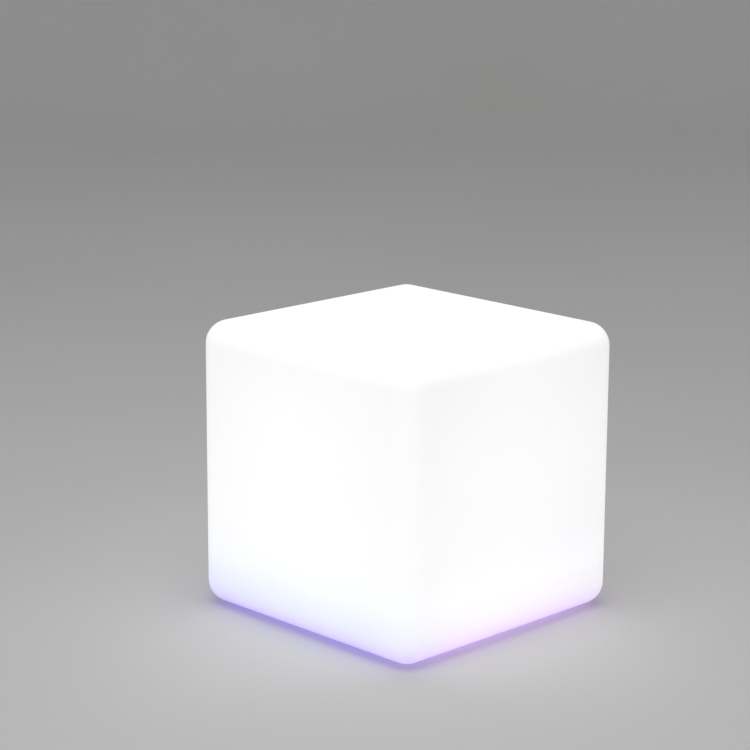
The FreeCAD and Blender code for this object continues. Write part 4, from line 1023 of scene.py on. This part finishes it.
# %% Cover
cover_low, cover_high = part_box("port_cover")
COVER_RADIUS = 7 * MM
COVER_THICKNESS = 1.8 * MM
BOSS = 4 * MM
NECK_WIDTH = 7 * MM
PIVOT_BORE = 2.05 * MM
COVER_EASE = 0.35 * MM
EASED_ABOVE = math.radians(60)
RIDGE_LENGTH = 6 * MM
RIDGE_WIDTH = 0.7 * MM
RIDGE_EASE = 0.3 * MM
RIDGE_PITCH = 1.3 * MM
RIDGE_COUNT = 3
SOCKET_X = (cover_low.x + cover_high.x) / 2
SOCKET_Y = cover_low.y + COVER_RADIUS
PIVOT_Y = cover_high.y - BOSS


def ring_of_points(work, y, radius, steps):
    place = Matrix.Translation((SOCKET_X, y, cover_high.z - COVER_THICKNESS))
    circle = {"cap_ends": False, "radius": radius, "segments": steps, "matrix": place}
    return bmesh.ops.create_circle(work, **circle)["verts"]


def cover_outline():
    """The outer edge of the cover's lower face, and the edge of its bore."""
    work = bmesh.new()
    disc = ring_of_points(work, SOCKET_Y, COVER_RADIUS, steps=64)
    boss = ring_of_points(work, PIVOT_Y, BOSS, steps=40)
    covered = [
        vert
        for vert in disc + boss
        if abs(vert.co.x - SOCKET_X) < NECK_WIDTH / 2 and SOCKET_Y < vert.co.y < PIVOT_Y
    ]
    bmesh.ops.delete(work, geom=covered, context="VERTS")
    for side in (-1, 1):
        ends = [
            vert
            for vert in work.verts
            if len(vert.link_edges) == 1 and (vert.co.x - SOCKET_X) * side > 0
        ]
        work.edges.new(ends)
    ring_of_points(work, PIVOT_Y, PIVOT_BORE, steps=32)
    return work


def make_cover():
    work = cover_outline()
    bmesh.ops.triangle_fill(work, edges=work.edges[:], use_beauty=True)
    drawn = bmesh.ops.extrude_face_region(work, geom=work.faces[:])["geom"]
    top = [item for item in drawn if isinstance(item, bmesh.types.BMVert)]
    bmesh.ops.translate(work, vec=(0, 0, COVER_THICKNESS), verts=top)
    bmesh.ops.recalc_face_normals(work, faces=work.faces)
    rims = [edge for edge in work.edges if edge.calc_face_angle(0) > EASED_ABOVE]
    eased(work, rims, COVER_EASE, steps=3)
    ridge_x = about(SOCKET_X, RIDGE_LENGTH / 2)
    ridge_z = (cover_low.z, cover_high.z - COVER_THICKNESS / 2)
    for k in range(RIDGE_COUNT):
        ridge_y = about(cover_low.y + (k + 1) * RIDGE_PITCH, RIDGE_WIDTH / 2)
        slab(work, ridge_x, ridge_y, ridge_z, ease=RIDGE_EASE, steps=3)
    finished("swing_cover", work, textured_abs, "cover", ["port_cover"])


make_cover()

# %% [markdown]
# The breather lets the air in the lamp unit swell and shrink with the heat while a membrane
# keeps water out. Its cap has small mouths all round, and a gently crowned face. The mouths
# are every other face of the cap's side, set in.

# %% Breather cap
vent_low, vent_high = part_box("pressure_vent")
VENT_RADIUS = 5 * MM
VENT_HEAD = 1.5 * MM
VENT_SHANK = 2.9 * MM
VENT_BARB = 0.5 * MM
VENT_CROWN = 0.25 * MM
MOUTH_DEPTH = 0.8 * MM
MOUTH_RIM = 0.15 * MM
MOUTH_COUNT = 12
vent_middle = middle("pressure_vent")


def make_breather():
    low, seat, top = vent_low.z, vent_low.z + VENT_HEAD, vent_high.z
    snap = top - 6 * VENT_BARB
    profile = [
        (0, low),
        (VENT_RADIUS * 0.5, low + VENT_CROWN * 0.2),
        (VENT_RADIUS - VENT_BARB, low + VENT_CROWN),
        (VENT_RADIUS, low + VENT_CROWN + VENT_BARB / 2),
        (VENT_RADIUS, seat),
        (VENT_SHANK, seat),
        (VENT_SHANK, snap),
        (VENT_SHANK + VENT_BARB, snap + VENT_BARB),
        (VENT_SHANK - VENT_BARB, top),
        (0, top),
    ]
    work = turned(profile, vent_middle.x, vent_middle.y, steps=2 * MOUTH_COUNT)
    bmesh.ops.remove_doubles(work, verts=work.verts, dist=MERGED_WITHIN)
    bmesh.ops.recalc_face_normals(work, faces=work.faces)
    centre = Vector((vent_middle.x, vent_middle.y, 0))
    side = []
    for face in work.faces:
        away = face.calc_center_median() - centre
        if abs(face.normal.z) < 0.1 and Vector(away.xy).length > VENT_RADIUS * 0.95:
            side.append((math.atan2(away.y, away.x), face))
    side.sort(key=lambda pair: pair[0])
    mouths = [pair[1] for pair in side[::2]]
    bmesh.ops.inset_individual(work, faces=mouths, thickness=MOUTH_RIM, depth=-MOUTH_DEPTH)
    finished("breather_cap", work, vent_nylon, stands_for=["pressure_vent"])


make_breather()

# %% [markdown]
# ## The lights on their board
#
# Each light is a white moulded case with a round well filled with phosphor, soldered down by
# three tinned pads on each of two sides. One is modelled with insets and then spun round the
# board's middle as loose copies, eight in the inner ring and sixteen in the outer one.

# %% Light chips
chips_low, chips_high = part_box("light_chips")
CHIP = 5 * MM
CHIP_RINGS = [(18 * MM, 8), (36 * MM, 16)]
CASE_MARGIN = 0.2 * MM
WELL_RIM = 0.45 * MM
WELL_CORNER = 1.1 * MM
WELL_SLOPE = 0.15 * MM
WELL_DEPTH = 0.35 * MM
FILL_MARGIN = 0.75 * MM
PAD_ROWS = [-1.6 * MM, 0, 1.6 * MM]
PAD_WIDTH = 0.9 * MM
PAD_LENGTH = 0.6 * MM
PAD_HEIGHT = 0.5 * MM


def ringed(make):
    """Both rings of what a function makes at a radius on the X axis."""
    both = bmesh.new()
    for radius, count in CHIP_RINGS:
        work = make(radius)
        bmesh.ops.spin(
            work,
            geom=work.verts[:] + work.edges[:] + work.faces[:],
            cent=(0, 0, 0),
            axis=(0, 0, 1),
            angle=math.tau * (count - 1) / count,
            steps=count - 1,
            use_duplicate=True,
        )
        joined(both, work)
    return both


def chip_case(radius):
    half = CHIP / 2 - CASE_MARGIN
    work = block((radius - half, -half, chips_low.z), (radius + half, half, chips_high.z))
    top = top_face(work)
    bmesh.ops.inset_region(work, faces=[top], thickness=WELL_RIM)
    eased(work, top.verts[:], WELL_CORNER, steps=3, affect="VERTICES")
    bmesh.ops.inset_region(work, faces=[top_face(work)], thickness=WELL_SLOPE, depth=-WELL_DEPTH)
    return work


def chip_fill(radius):
    level = chips_high.z - WELL_DEPTH
    rise = WELL_DEPTH * 0.75
    reach = CHIP / 2 - FILL_MARGIN
    profile = [(0, level), (reach, level), (reach * 0.9, level + rise * 0.7), (0, level + rise)]
    return turned(profile, x=radius, steps=16)


def chip_pads(radius):
    work = bmesh.new()
    for side in (-CHIP / 2, CHIP / 2):
        for row in PAD_ROWS:
            across = about(radius + row, PAD_WIDTH / 2)
            upright = (chips_low.z, chips_low.z + PAD_HEIGHT)
            slab(work, across, about(side, PAD_LENGTH / 2), upright)
    return work


tin = rolled_metal("tinned_copper", "#B9B8B4", "#CBCAC6", 0.3, 0.42)
case_resin = moulded_plastic("white_case_resin", "#E6E4DC", "#F0EEE8", 0.4, 0.55, width=0.3 * MM)
finished("light_cases", ringed(chip_case), case_resin, stands_for=["light_chips"])
finished("light_phosphor", ringed(chip_fill), phosphor)
finished("light_pads", ringed(chip_pads), tin)

# %% [markdown]
# ## The controller's components
#
# The plain solids of the controller only keep its components' places. Here each gets what
# makes it what it is: legs on the chips, sleeves and scored tops on the capacitors, a wound
# coil on its ferrite, and connectors with a well and two pins. Small resistors fill the free
# strips of the board, as on any such board.

# %% Chips with legs
board_low, board_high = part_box("controller_board")
BOARD_TOP = board_high.z
BOARD_LENGTH = board_high.x - board_low.x
BOARD_WIDTH = board_high.y - board_low.y
# Each chip's place, its length, width and height, and its legs along each of two sides.
CHIPS = [
    (-BOARD_LENGTH / 9, BOARD_WIDTH / 8, 7 * MM, 7 * MM, 1.2 * MM, 8),
    (-BOARD_LENGTH / 4, -BOARD_WIDTH / 6, 5 * MM, 5 * MM, 1.0 * MM, 5),
    (BOARD_LENGTH / 6, BOARD_WIDTH / 9, 5 * MM, 6 * MM, 1.5 * MM, 4),
]
CASE_LIFT = 0.1 * MM
CASE_EASE = 0.12 * MM
LEG_WIDTH = 0.3 * MM
LEG_REACH = 0.9 * MM
LEG_THICKNESS = 0.16 * MM


def bent_leg(work, x, inner, outer, shoulder):
    """A leg from the case's side, down at its knee and out along the board."""
    across = about(x, LEG_WIDTH / 2)
    knee = (inner + outer) / 2
    half = LEG_THICKNESS / 2
    slab(work, across, (inner, knee), about(shoulder, half))
    slab(work, across, about(knee, half), (BOARD_TOP, shoulder + half))
    slab(work, across, (knee, outer), (BOARD_TOP, BOARD_TOP + LEG_THICKNESS))


def make_chips():
    cases, legs = bmesh.new(), bmesh.new()
    for x, y, length, width, height, count in CHIPS:
        half_y = width / 2 - LEG_REACH
        upright = (BOARD_TOP + CASE_LIFT, BOARD_TOP + height)
        slab(cases, about(x, length / 2), about(y, half_y), upright, ease=CASE_EASE, steps=1)
        pitch = (length - 2 * LEG_WIDTH) / count
        for k in range(count):
            leg_x = x + (k - (count - 1) / 2) * pitch
            for side in (-1, 1):
                inner = y + side * half_y
                bent_leg(legs, leg_x, inner, inner + side * LEG_REACH, BOARD_TOP + height / 2)
    finished("chip_cases", cases, thermoset, stands_for=["controller_parts"])
    finished("chip_legs", legs, tin)


make_chips()

# %% [markdown]
# A small aluminium capacitor is a can in a shrunk sleeve. The sleeve folds over the rim and
# leaves the top bare, and the crimp over the rubber plug draws in a groove near the foot.

# %% Capacitors
CAPACITOR_RADIUS = 3.1 * MM
CAPACITOR_HEIGHT = 7 * MM
CAPACITOR_STEPS = 40
CRIMP_HEIGHT = 1.4 * MM
CRIMP_HALF = 0.4 * MM
CRIMP_DRAW = 0.25 * MM
FOLD_HEIGHT = 0.35 * MM
FOLD_DRAW = 0.3 * MM
FOLD_SHARE = 0.8
TOP_THICKNESS = 0.4 * MM
TOP_SINK = 0.12 * MM
SCORE_HALF = 0.08 * MM
SCORE_ROOT = 0.05 * MM
SCORE_HEIGHT = 0.03 * MM
capacitor_places = [
    (BOARD_LENGTH / 14, -BOARD_WIDTH / 7),
    (-BOARD_LENGTH / 28, -BOARD_WIDTH / 7),
]


def make_capacitors():
    sleeves, tops = bmesh.new(), bmesh.new()
    top = BOARD_TOP + CAPACITOR_HEIGHT
    seat = top - TOP_THICKNESS
    face = top - TOP_SINK
    fold = CAPACITOR_RADIUS * FOLD_SHARE
    groove = BOARD_TOP + CRIMP_HEIGHT
    profile = [
        (0, BOARD_TOP),
        (CAPACITOR_RADIUS, BOARD_TOP),
        (CAPACITOR_RADIUS, groove - CRIMP_HALF),
        (CAPACITOR_RADIUS - CRIMP_DRAW, groove),
        (CAPACITOR_RADIUS, groove + CRIMP_HALF),
        (CAPACITOR_RADIUS, top - FOLD_HEIGHT),
        (CAPACITOR_RADIUS - FOLD_DRAW, top),
        (fold, top),
        (fold, seat),
        (0, seat),
    ]
    disc = [(0, seat), (fold, seat), (fold, face), (0, face)]
    long = fold * 0.7
    score = (face - SCORE_ROOT, face + SCORE_HEIGHT)
    for x, y in capacitor_places:
        turned(profile, x, y, CAPACITOR_STEPS, sleeves)
        turned(disc, x, y, CAPACITOR_STEPS, tops)
        slab(tops, about(x, long), about(y, SCORE_HALF), score)
        slab(tops, about(x, SCORE_HALF), about(y, long), score)
    finished("capacitor_sleeves", sleeves, gloss_abs)
    finished("capacitor_tops", tops, aluminium)


make_capacitors()

# %% [markdown]
# The coil of the light driver is copper wire wound on a ferrite drum. Its rounds are drawn
# as ridges in the profile of one turned piece, because at this size each is a hair wide.

# %% Coil
COIL_WIDTH = 8 * MM
COIL_HEIGHT = 4 * MM
COIL_X, COIL_Y = BOARD_LENGTH * 2 / 7, -BOARD_WIDTH / 6
COIL_STEPS = 40
COIL_EASE = 0.2 * MM
FLANGE = 0.8 * MM
COIL_LAYERS = 5


def copper_wire():
    material, tree, shader = new_finish("enamelled_copper", "#A85A2A", Metallic=1.0, Coat_Weight=0.6)
    tint(tree, shader, 2 * MM, [(0.3, "#9C4F22"), (0.7, "#B96A35")])
    patchy_gloss(tree, shader, 1 * MM, 0.22, 0.34)
    return material


def make_coil():
    low, high = BOARD_TOP, BOARD_TOP + COIL_HEIGHT
    half = COIL_WIDTH / 2
    floor_of_top = high - FLANGE
    ferrite = bmesh.new()
    upright = (low, low + FLANGE)
    slab(ferrite, about(COIL_X, half), about(COIL_Y, half), upright, ease=COIL_EASE)
    top = [(0, floor_of_top), (half * 0.9, floor_of_top), (half * 0.9, high - COIL_EASE)]
    turned(top + [(half * 0.85, high), (0, high)], COIL_X, COIL_Y, COIL_STEPS, ferrite)
    finished("coil_ferrite", ferrite, thermoset)
    pitch = (high - low - 2 * FLANGE) / COIL_LAYERS
    ridges = [(0, low + FLANGE)]
    for layer in range(COIL_LAYERS):
        foot = low + FLANGE + layer * pitch
        ridges += [(half * 0.72, foot), (half * 0.8, foot + pitch / 2)]
    ridges += [(half * 0.72, floor_of_top), (0, floor_of_top)]
    winding = turned(ridges, COIL_X, COIL_Y, COIL_STEPS)
    finished("coil_winding", winding, copper_wire())


make_coil()

# %% [markdown]
# A connector on such a board is a white nylon shroud, open at the top, with two square pins
# standing in it. It is a block whose top is inset twice, the second time downwards.

# %% Connectors and their pins
CONNECTOR_LONG = 8 * MM
CONNECTOR_WIDE = 6 * MM
CONNECTOR_HIGH = 6 * MM
CONNECTOR_EDGE = 1 * MM
SHROUD_WALL = 0.7 * MM
SHROUD_EASE = 0.25 * MM
WELL_TAPER = 0.02 * MM
PIN_SIZE = 0.5 * MM
PIN_EASE = 0.1 * MM
PIN_SPREAD = 1 * MM
end_x = BOARD_LENGTH / 2 - CONNECTOR_LONG / 2 - CONNECTOR_EDGE
side_y = BOARD_WIDTH / 2 - CONNECTOR_LONG / 2 - CONNECTOR_EDGE
connector_places = [
    (end_x, 0, CONNECTOR_LONG, CONNECTOR_WIDE),
    (-end_x, 0, CONNECTOR_LONG, CONNECTOR_WIDE),
    (0, -side_y, CONNECTOR_WIDE, CONNECTOR_LONG),
    (BOARD_LENGTH / 4, side_y, CONNECTOR_WIDE, CONNECTOR_LONG),
]


def make_connectors():
    shrouds, pins = bmesh.new(), bmesh.new()
    for x, y, length, width in connector_places:
        low = (x - length / 2, y - width / 2, BOARD_TOP)
        high = (x + length / 2, y + width / 2, BOARD_TOP + CONNECTOR_HIGH)
        one = block(low, high, ease=SHROUD_EASE)
        top = top_face(one)
        bmesh.ops.inset_region(one, faces=[top], thickness=SHROUD_WALL)
        bmesh.ops.inset_region(one, faces=[top], thickness=WELL_TAPER, depth=-CONNECTOR_HIGH * 0.7)
        joined(shrouds, one)
        along_x, along_y = (PIN_SPREAD, 0) if width > length else (0, PIN_SPREAD)
        upright = (BOARD_TOP + CONNECTOR_HIGH * 0.25, BOARD_TOP + CONNECTOR_HIGH * 0.85)
        for side in (-1, 1):
            pin_x = about(x + side * along_x, PIN_SIZE / 2)
            pin_y = about(y + side * along_y, PIN_SIZE / 2)
            slab(pins, pin_x, pin_y, upright, ease=PIN_EASE, steps=1)
    finished("connector_shrouds", shrouds, natural_nylon)
    finished("connector_pins", pins, contact_gold)


make_connectors()

# %% [markdown]
# Chip resistors are 1.6 mm long, black on top with tinned ends. Three rows of them stand on
# the strips of the board that the larger components leave free. The charge indicator hangs
# under the board, over the light pipe that carries its light to the plate.

# %% Resistors and the indicator
RESISTOR_LENGTH = 1.6 * MM
RESISTOR_WIDTH = 0.8 * MM
RESISTOR_HEIGHT = 0.5 * MM
RESISTOR_PITCH = 2.8 * MM
BARE_SHARE = 0.32
END_SHARE = 0.94
END_EASE = 0.06 * MM
# Where each row starts, and how many resistors stand in it.
RESISTOR_ROWS = [(-22 * MM, 18 * MM, 6), (5 * MM, 15.5 * MM, 3), (-13 * MM, -19.5 * MM, 3)]
INDICATOR_SIZE = Vector((3 * MM, 1.6 * MM, 0))
INDICATOR_HEIGHT = 1 * MM
INDICATOR_EASE = 0.2 * MM
lens_middle = middle("charge_lamp_lens")


def make_resistors():
    bodies, caps = bmesh.new(), bmesh.new()
    bare = RESISTOR_LENGTH * BARE_SHARE
    body_z = (BOARD_TOP, BOARD_TOP + RESISTOR_HEIGHT)
    cap_z = (BOARD_TOP, BOARD_TOP + RESISTOR_HEIGHT * END_SHARE)
    for start, y, count in RESISTOR_ROWS:
        across = about(y, RESISTOR_WIDTH / 2)
        for k in range(count):
            x = start + k * RESISTOR_PITCH
            slab(bodies, about(x, bare), across, body_z)
            for side in (-1, 1):
                cap_x = (x + side * bare, x + side * RESISTOR_LENGTH / 2)
                slab(caps, cap_x, across, cap_z, ease=END_EASE, steps=1)
    finished("resistors", bodies, thermoset)
    finished("resistor_ends", caps, tin)


def make_indicator():
    x, y = lens_middle.x, lens_middle.y
    low = Vector((x, y, board_low.z - INDICATOR_HEIGHT)) - INDICATOR_SIZE / 2
    high = Vector((x, y, board_low.z)) + INDICATOR_SIZE / 2
    finished("charge_indicator", block(low, high, ease=INDICATOR_EASE), clear)


make_resistors()
make_indicator()

# %% [markdown]
# ## The battery
#
# Three cells lie side by side. A wrapped cell shows blue sleeve along its length, a groove
# near one end where the can is crimped, a white insulating ring at that end and bare steel
# in the middle of both. Each is turned upright and then laid over onto its side, the middle
# one the other way round, because the three are joined in a zigzag by the nickel strips.

# %% Cells
cells_low, cells_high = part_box("battery_cells")
CELL_RADIUS = (cells_high.z - cells_low.z) / 2
CELL_LENGTH = cells_high.x - cells_low.x
CELL_SPACING = (cells_high.y - cells_low.y - 2 * CELL_RADIUS) / 2
CELL_AXIS = (cells_low.z + cells_high.z) / 2
CRIMP = 4 * MM
CRIMP_DEPTH = 0.4 * MM
CRIMP_SPREAD = 1 * MM
FOLD = 6.6 * MM
FOLD_LIP = 0.15 * MM
FOLD_EASE = 0.2 * MM
SLEEVED = 0.6 * MM
SLEEVE_RIM = 0.6 * MM
BASE_EASE = 0.6 * MM
RECESSED = 0.35 * MM
BUTTON_END = 3.2 * MM
BUTTON_SKIRT = 0.6 * MM
BUTTON_EASE = 0.3 * MM
RING_BORE = BUTTON_END + 0.4 * MM
RING_REACH = FOLD - 0.02 * MM
RING_SINK = 0.1 * MM
CELL_STEPS = 56


def laid_over(make):
    """Three copies of what a function turns upright, each laid along X in its place."""
    all_three = bmesh.new()
    for number, y in enumerate((-CELL_SPACING, 0, CELL_SPACING)):
        work = make()
        way = -1 if number == 1 else 1
        bmesh.ops.rotate(work, verts=work.verts, matrix=Matrix.Rotation(way * math.pi / 2, 3, "Y"))
        bmesh.ops.translate(work, vec=(0, y, CELL_AXIS), verts=work.verts)
        joined(all_three, work)
    return all_three


def cell_sleeve():
    low, high = -CELL_LENGTH / 2, CELL_LENGTH / 2
    profile = [
        (0, low + SLEEVED),
        (FOLD, low + SLEEVED),
        (FOLD, low + FOLD_LIP),
        (FOLD + FOLD_EASE, low),
        (CELL_RADIUS - SLEEVE_RIM, low),
        (CELL_RADIUS, low + SLEEVE_RIM),
        (CELL_RADIUS, high - CRIMP - CRIMP_SPREAD),
        (CELL_RADIUS - CRIMP_DEPTH, high - CRIMP),
        (CELL_RADIUS, high - CRIMP + CRIMP_SPREAD),
        (CELL_RADIUS, high - SLEEVE_RIM),
        (CELL_RADIUS - SLEEVE_RIM, high),
        (FOLD + FOLD_EASE, high),
        (FOLD, high - FOLD_LIP),
        (FOLD, high - SLEEVED),
        (0, high - SLEEVED),
    ]
    return turned(profile, steps=CELL_STEPS)


def cell_ends():
    low, high = -CELL_LENGTH / 2, CELL_LENGTH / 2
    base = [
        (0, low),
        (FOLD - BASE_EASE, low),
        (FOLD, low + FOLD_EASE),
        (FOLD, low + SLEEVED),
        (0, low + SLEEVED),
    ]
    work = turned(base, steps=CELL_STEPS)
    top = [
        (0, high - SLEEVED),
        (BUTTON_END + BUTTON_SKIRT, high - SLEEVED),
        (BUTTON_END + BUTTON_SKIRT, high - RECESSED),
        (BUTTON_END, high - RECESSED / 2),
        (BUTTON_END - BUTTON_EASE, high),
        (0, high),
    ]
    return turned(top, steps=CELL_STEPS, work=work)


def cell_ring():
    foot = CELL_LENGTH / 2 - SLEEVED
    flat = CELL_LENGTH / 2 - RING_SINK
    corners = [(RING_BORE, foot), (RING_BORE, flat), (RING_REACH, flat), (RING_REACH, foot)]
    return turned(corners + corners[:1], steps=CELL_STEPS)


finished("cell_sleeves", laid_over(cell_sleeve), sleeve, stands_for=["battery_cells"])
finished("cell_ends", laid_over(cell_ends), steel)
finished("cell_rings", laid_over(cell_ring), natural_nylon)

# %% [markdown]
# The strap holds the cells down in their tray. It is soft webbing, pulled tight, so it lies
# flat under the tray and over the cells and turns round the outer ones in an arc. A closed
# loop of points, rounded by a bevel of its corners, is drawn out to the strap's width and
# then gets its thickness. It is one plain band: the lap of its two ends isn't modelled.

# %% Strap
strap_low, strap_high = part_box("battery_strap")
STRAP_THICKNESS = 1 * MM
UPPER_TURN = 6.5 * MM
LOWER_TURN = 1.6 * MM
TURN_STEPS = 8
SELVAGE_EASE = 0.2 * MM


def strap_loop(width):
    """The strap's outer face, as a band across a width, its corners rounded."""
    work = bmesh.new()
    y, low, high = strap_high.y, strap_low.z, strap_high.z
    corners = [(-y, low), (y, low), (y, high), (-y, high)]
    points = [work.verts.new((-width / 2, *corner)) for corner in corners]
    for number, point in enumerate(points):
        work.edges.new((point, points[(number + 1) % len(points)]))
    for height, radius in ((low, LOWER_TURN), (high, UPPER_TURN)):
        turning = [vert for vert in work.verts if abs(vert.co.z - height) < TOUCHING]
        eased(work, turning, radius, TURN_STEPS, affect="VERTICES")
    drawn = bmesh.ops.extrude_edge_only(work, edges=work.edges[:])["geom"]
    across = [item for item in drawn if isinstance(item, bmesh.types.BMVert)]
    bmesh.ops.translate(work, vec=(width, 0, 0), verts=across)
    return work


def make_strap():
    loop = strap_loop(strap_high.x - strap_low.x)
    band = finished("webbing_strap", loop, webbing, stands_for=["battery_strap"])
    thickness = band.modifiers.new("thickness", "SOLIDIFY")
    thickness.thickness = STRAP_THICKNESS
    thickness.offset = -1
    soft = band.modifiers.new("selvage", "BEVEL")
    soft.width = SELVAGE_EASE
    soft.segments = 2
    bpy.context.view_layer.update()
    apply_modifiers(band)


make_strap()

# %% [markdown]
# ## The floor
#
# The lamp stands on a pale floor that rises in a long curve into a wall on every side, as
# the paper roll in a photo studio does, so that no corner shows behind it. It is one spun
# profile, and it is marked as stage, so it isn't taken for a piece of the lamp.

# %% Floor
FLAT_FLOOR = 4.5
FLOOR_CURVE = 1.5
CURVE_STEPS = 9
WALL_TOP = 4.0
FLOOR_STEPS = 96
FLOOR_PATCH = 0.9


def make_floor():
    curve = quarter(FLAT_FLOOR, FLOOR_CURVE, FLOOR_CURVE, start=0, steps=CURVE_STEPS)[::-1]
    work = turned([(0, 0), *curve, (FLAT_FLOOR + FLOOR_CURVE, WALL_TOP)], steps=FLOOR_STEPS)
    bmesh.ops.remove_doubles(work, verts=work.verts, dist=MM)
    bmesh.ops.recalc_face_normals(work, faces=work.faces)
    if max(work.faces, key=lambda face: face.calc_area()).normal.z < 0:
        bmesh.ops.reverse_faces(work, faces=work.faces)
    mesh = bpy.data.meshes.new("floor")
    work.to_mesh(mesh)
    work.free()
    mesh.shade_smooth()
    material, tree, shader = new_finish("painted_floor", "#DDDDDC", Roughness=0.85)
    tint(tree, shader, FLOOR_PATCH, [(0.3, "#DBDBDA"), (0.7, "#DFDFDF")])
    mesh.materials.append(material)
    floor = bpy.data.objects.new("floor", mesh)
    bpy.context.scene.collection.objects.link(floor)
    floor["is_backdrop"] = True
    print("floor:", len(mesh.polygons), "faces")


make_floor()

# %% [markdown]
# ## Light
#
# The light is soft and plain: an even white sky all round, and one large round soft box high
# in front, which gives the edges a gentle shade and the cube a soft shadow. It is kept below
# the cube's own glow. The colours are shown as they are, with no film look laid over them.

# %% Light
SKY = 0.36
SOFT_BOX_PLACE = Vector((0.85, -1.2, 3.4))
SOFT_BOX_SIZE = 3.0
SOFT_BOX_POWER = 46
scene = bpy.context.scene


def make_light():
    world = bpy.data.worlds.new("studio")
    world.use_nodes = True
    background = world.node_tree.nodes["Background"].inputs
    background["Color"].default_value = linear("#FFFFFF")
    background["Strength"].default_value = SKY
    scene.world = world
    lamp = bpy.data.lights.new("soft_box", "AREA")
    lamp.shape = "DISK"
    lamp.size = SOFT_BOX_SIZE
    lamp.energy = SOFT_BOX_POWER
    soft_box = bpy.data.objects.new("soft_box", lamp)
    soft_box.location = SOFT_BOX_PLACE
    soft_box.rotation_euler = (CUBE_MIDDLE - SOFT_BOX_PLACE).to_track_quat("-Z", "Y").to_euler()
    scene.collection.objects.link(soft_box)
    scene.view_settings.view_transform = "Standard"
    print("sky", SKY, "soft box", SOFT_BOX_POWER, "W")


make_light()

# %% [markdown]
# ## Camera
#
# The photograph looks at an upright edge of the cube from a little above. The camera's place,
# the point it looks at, its field of view and its slight tilt were fitted to the outline that
# the cube has in the picture, because no edge shows inside it.

# %% Camera
CAMERA_PLACE = Vector((2.202, -2.240, 1.0945))
LOOKS_AT = Vector((-0.0522, -0.0092, 0.3157))
FIELD_OF_VIEW = math.radians(17.665)
TILT = math.radians(0.273)


def make_camera():
    lens = bpy.data.cameras.new("camera")
    lens.angle = FIELD_OF_VIEW
    camera = bpy.data.objects.new("camera", lens)
    facing = (LOOKS_AT - CAMERA_PLACE).to_track_quat("-Z", "Y")
    camera.matrix_world = Matrix.Translation(CAMERA_PLACE) @ (
        facing.to_matrix().to_4x4() @ Matrix.Rotation(TILT, 4, "Z")
    )
    scene.collection.objects.link(camera)
    scene.camera = camera
    print("camera", [round(value, 3) for value in camera.matrix_world.translation])


make_camera()

# %% [markdown]
# ## Measure
#
# The whole object's box is printed twice, once as it came from the solids and once with everything that
# was modelled here, so that the two can be compared.

# %% Sizes
visual_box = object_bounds()
for name, box in (("solids", cad_box), ("dressed", visual_box)):
    print(name, [[round(value / MM, 2) for value in corner] for corner in box])
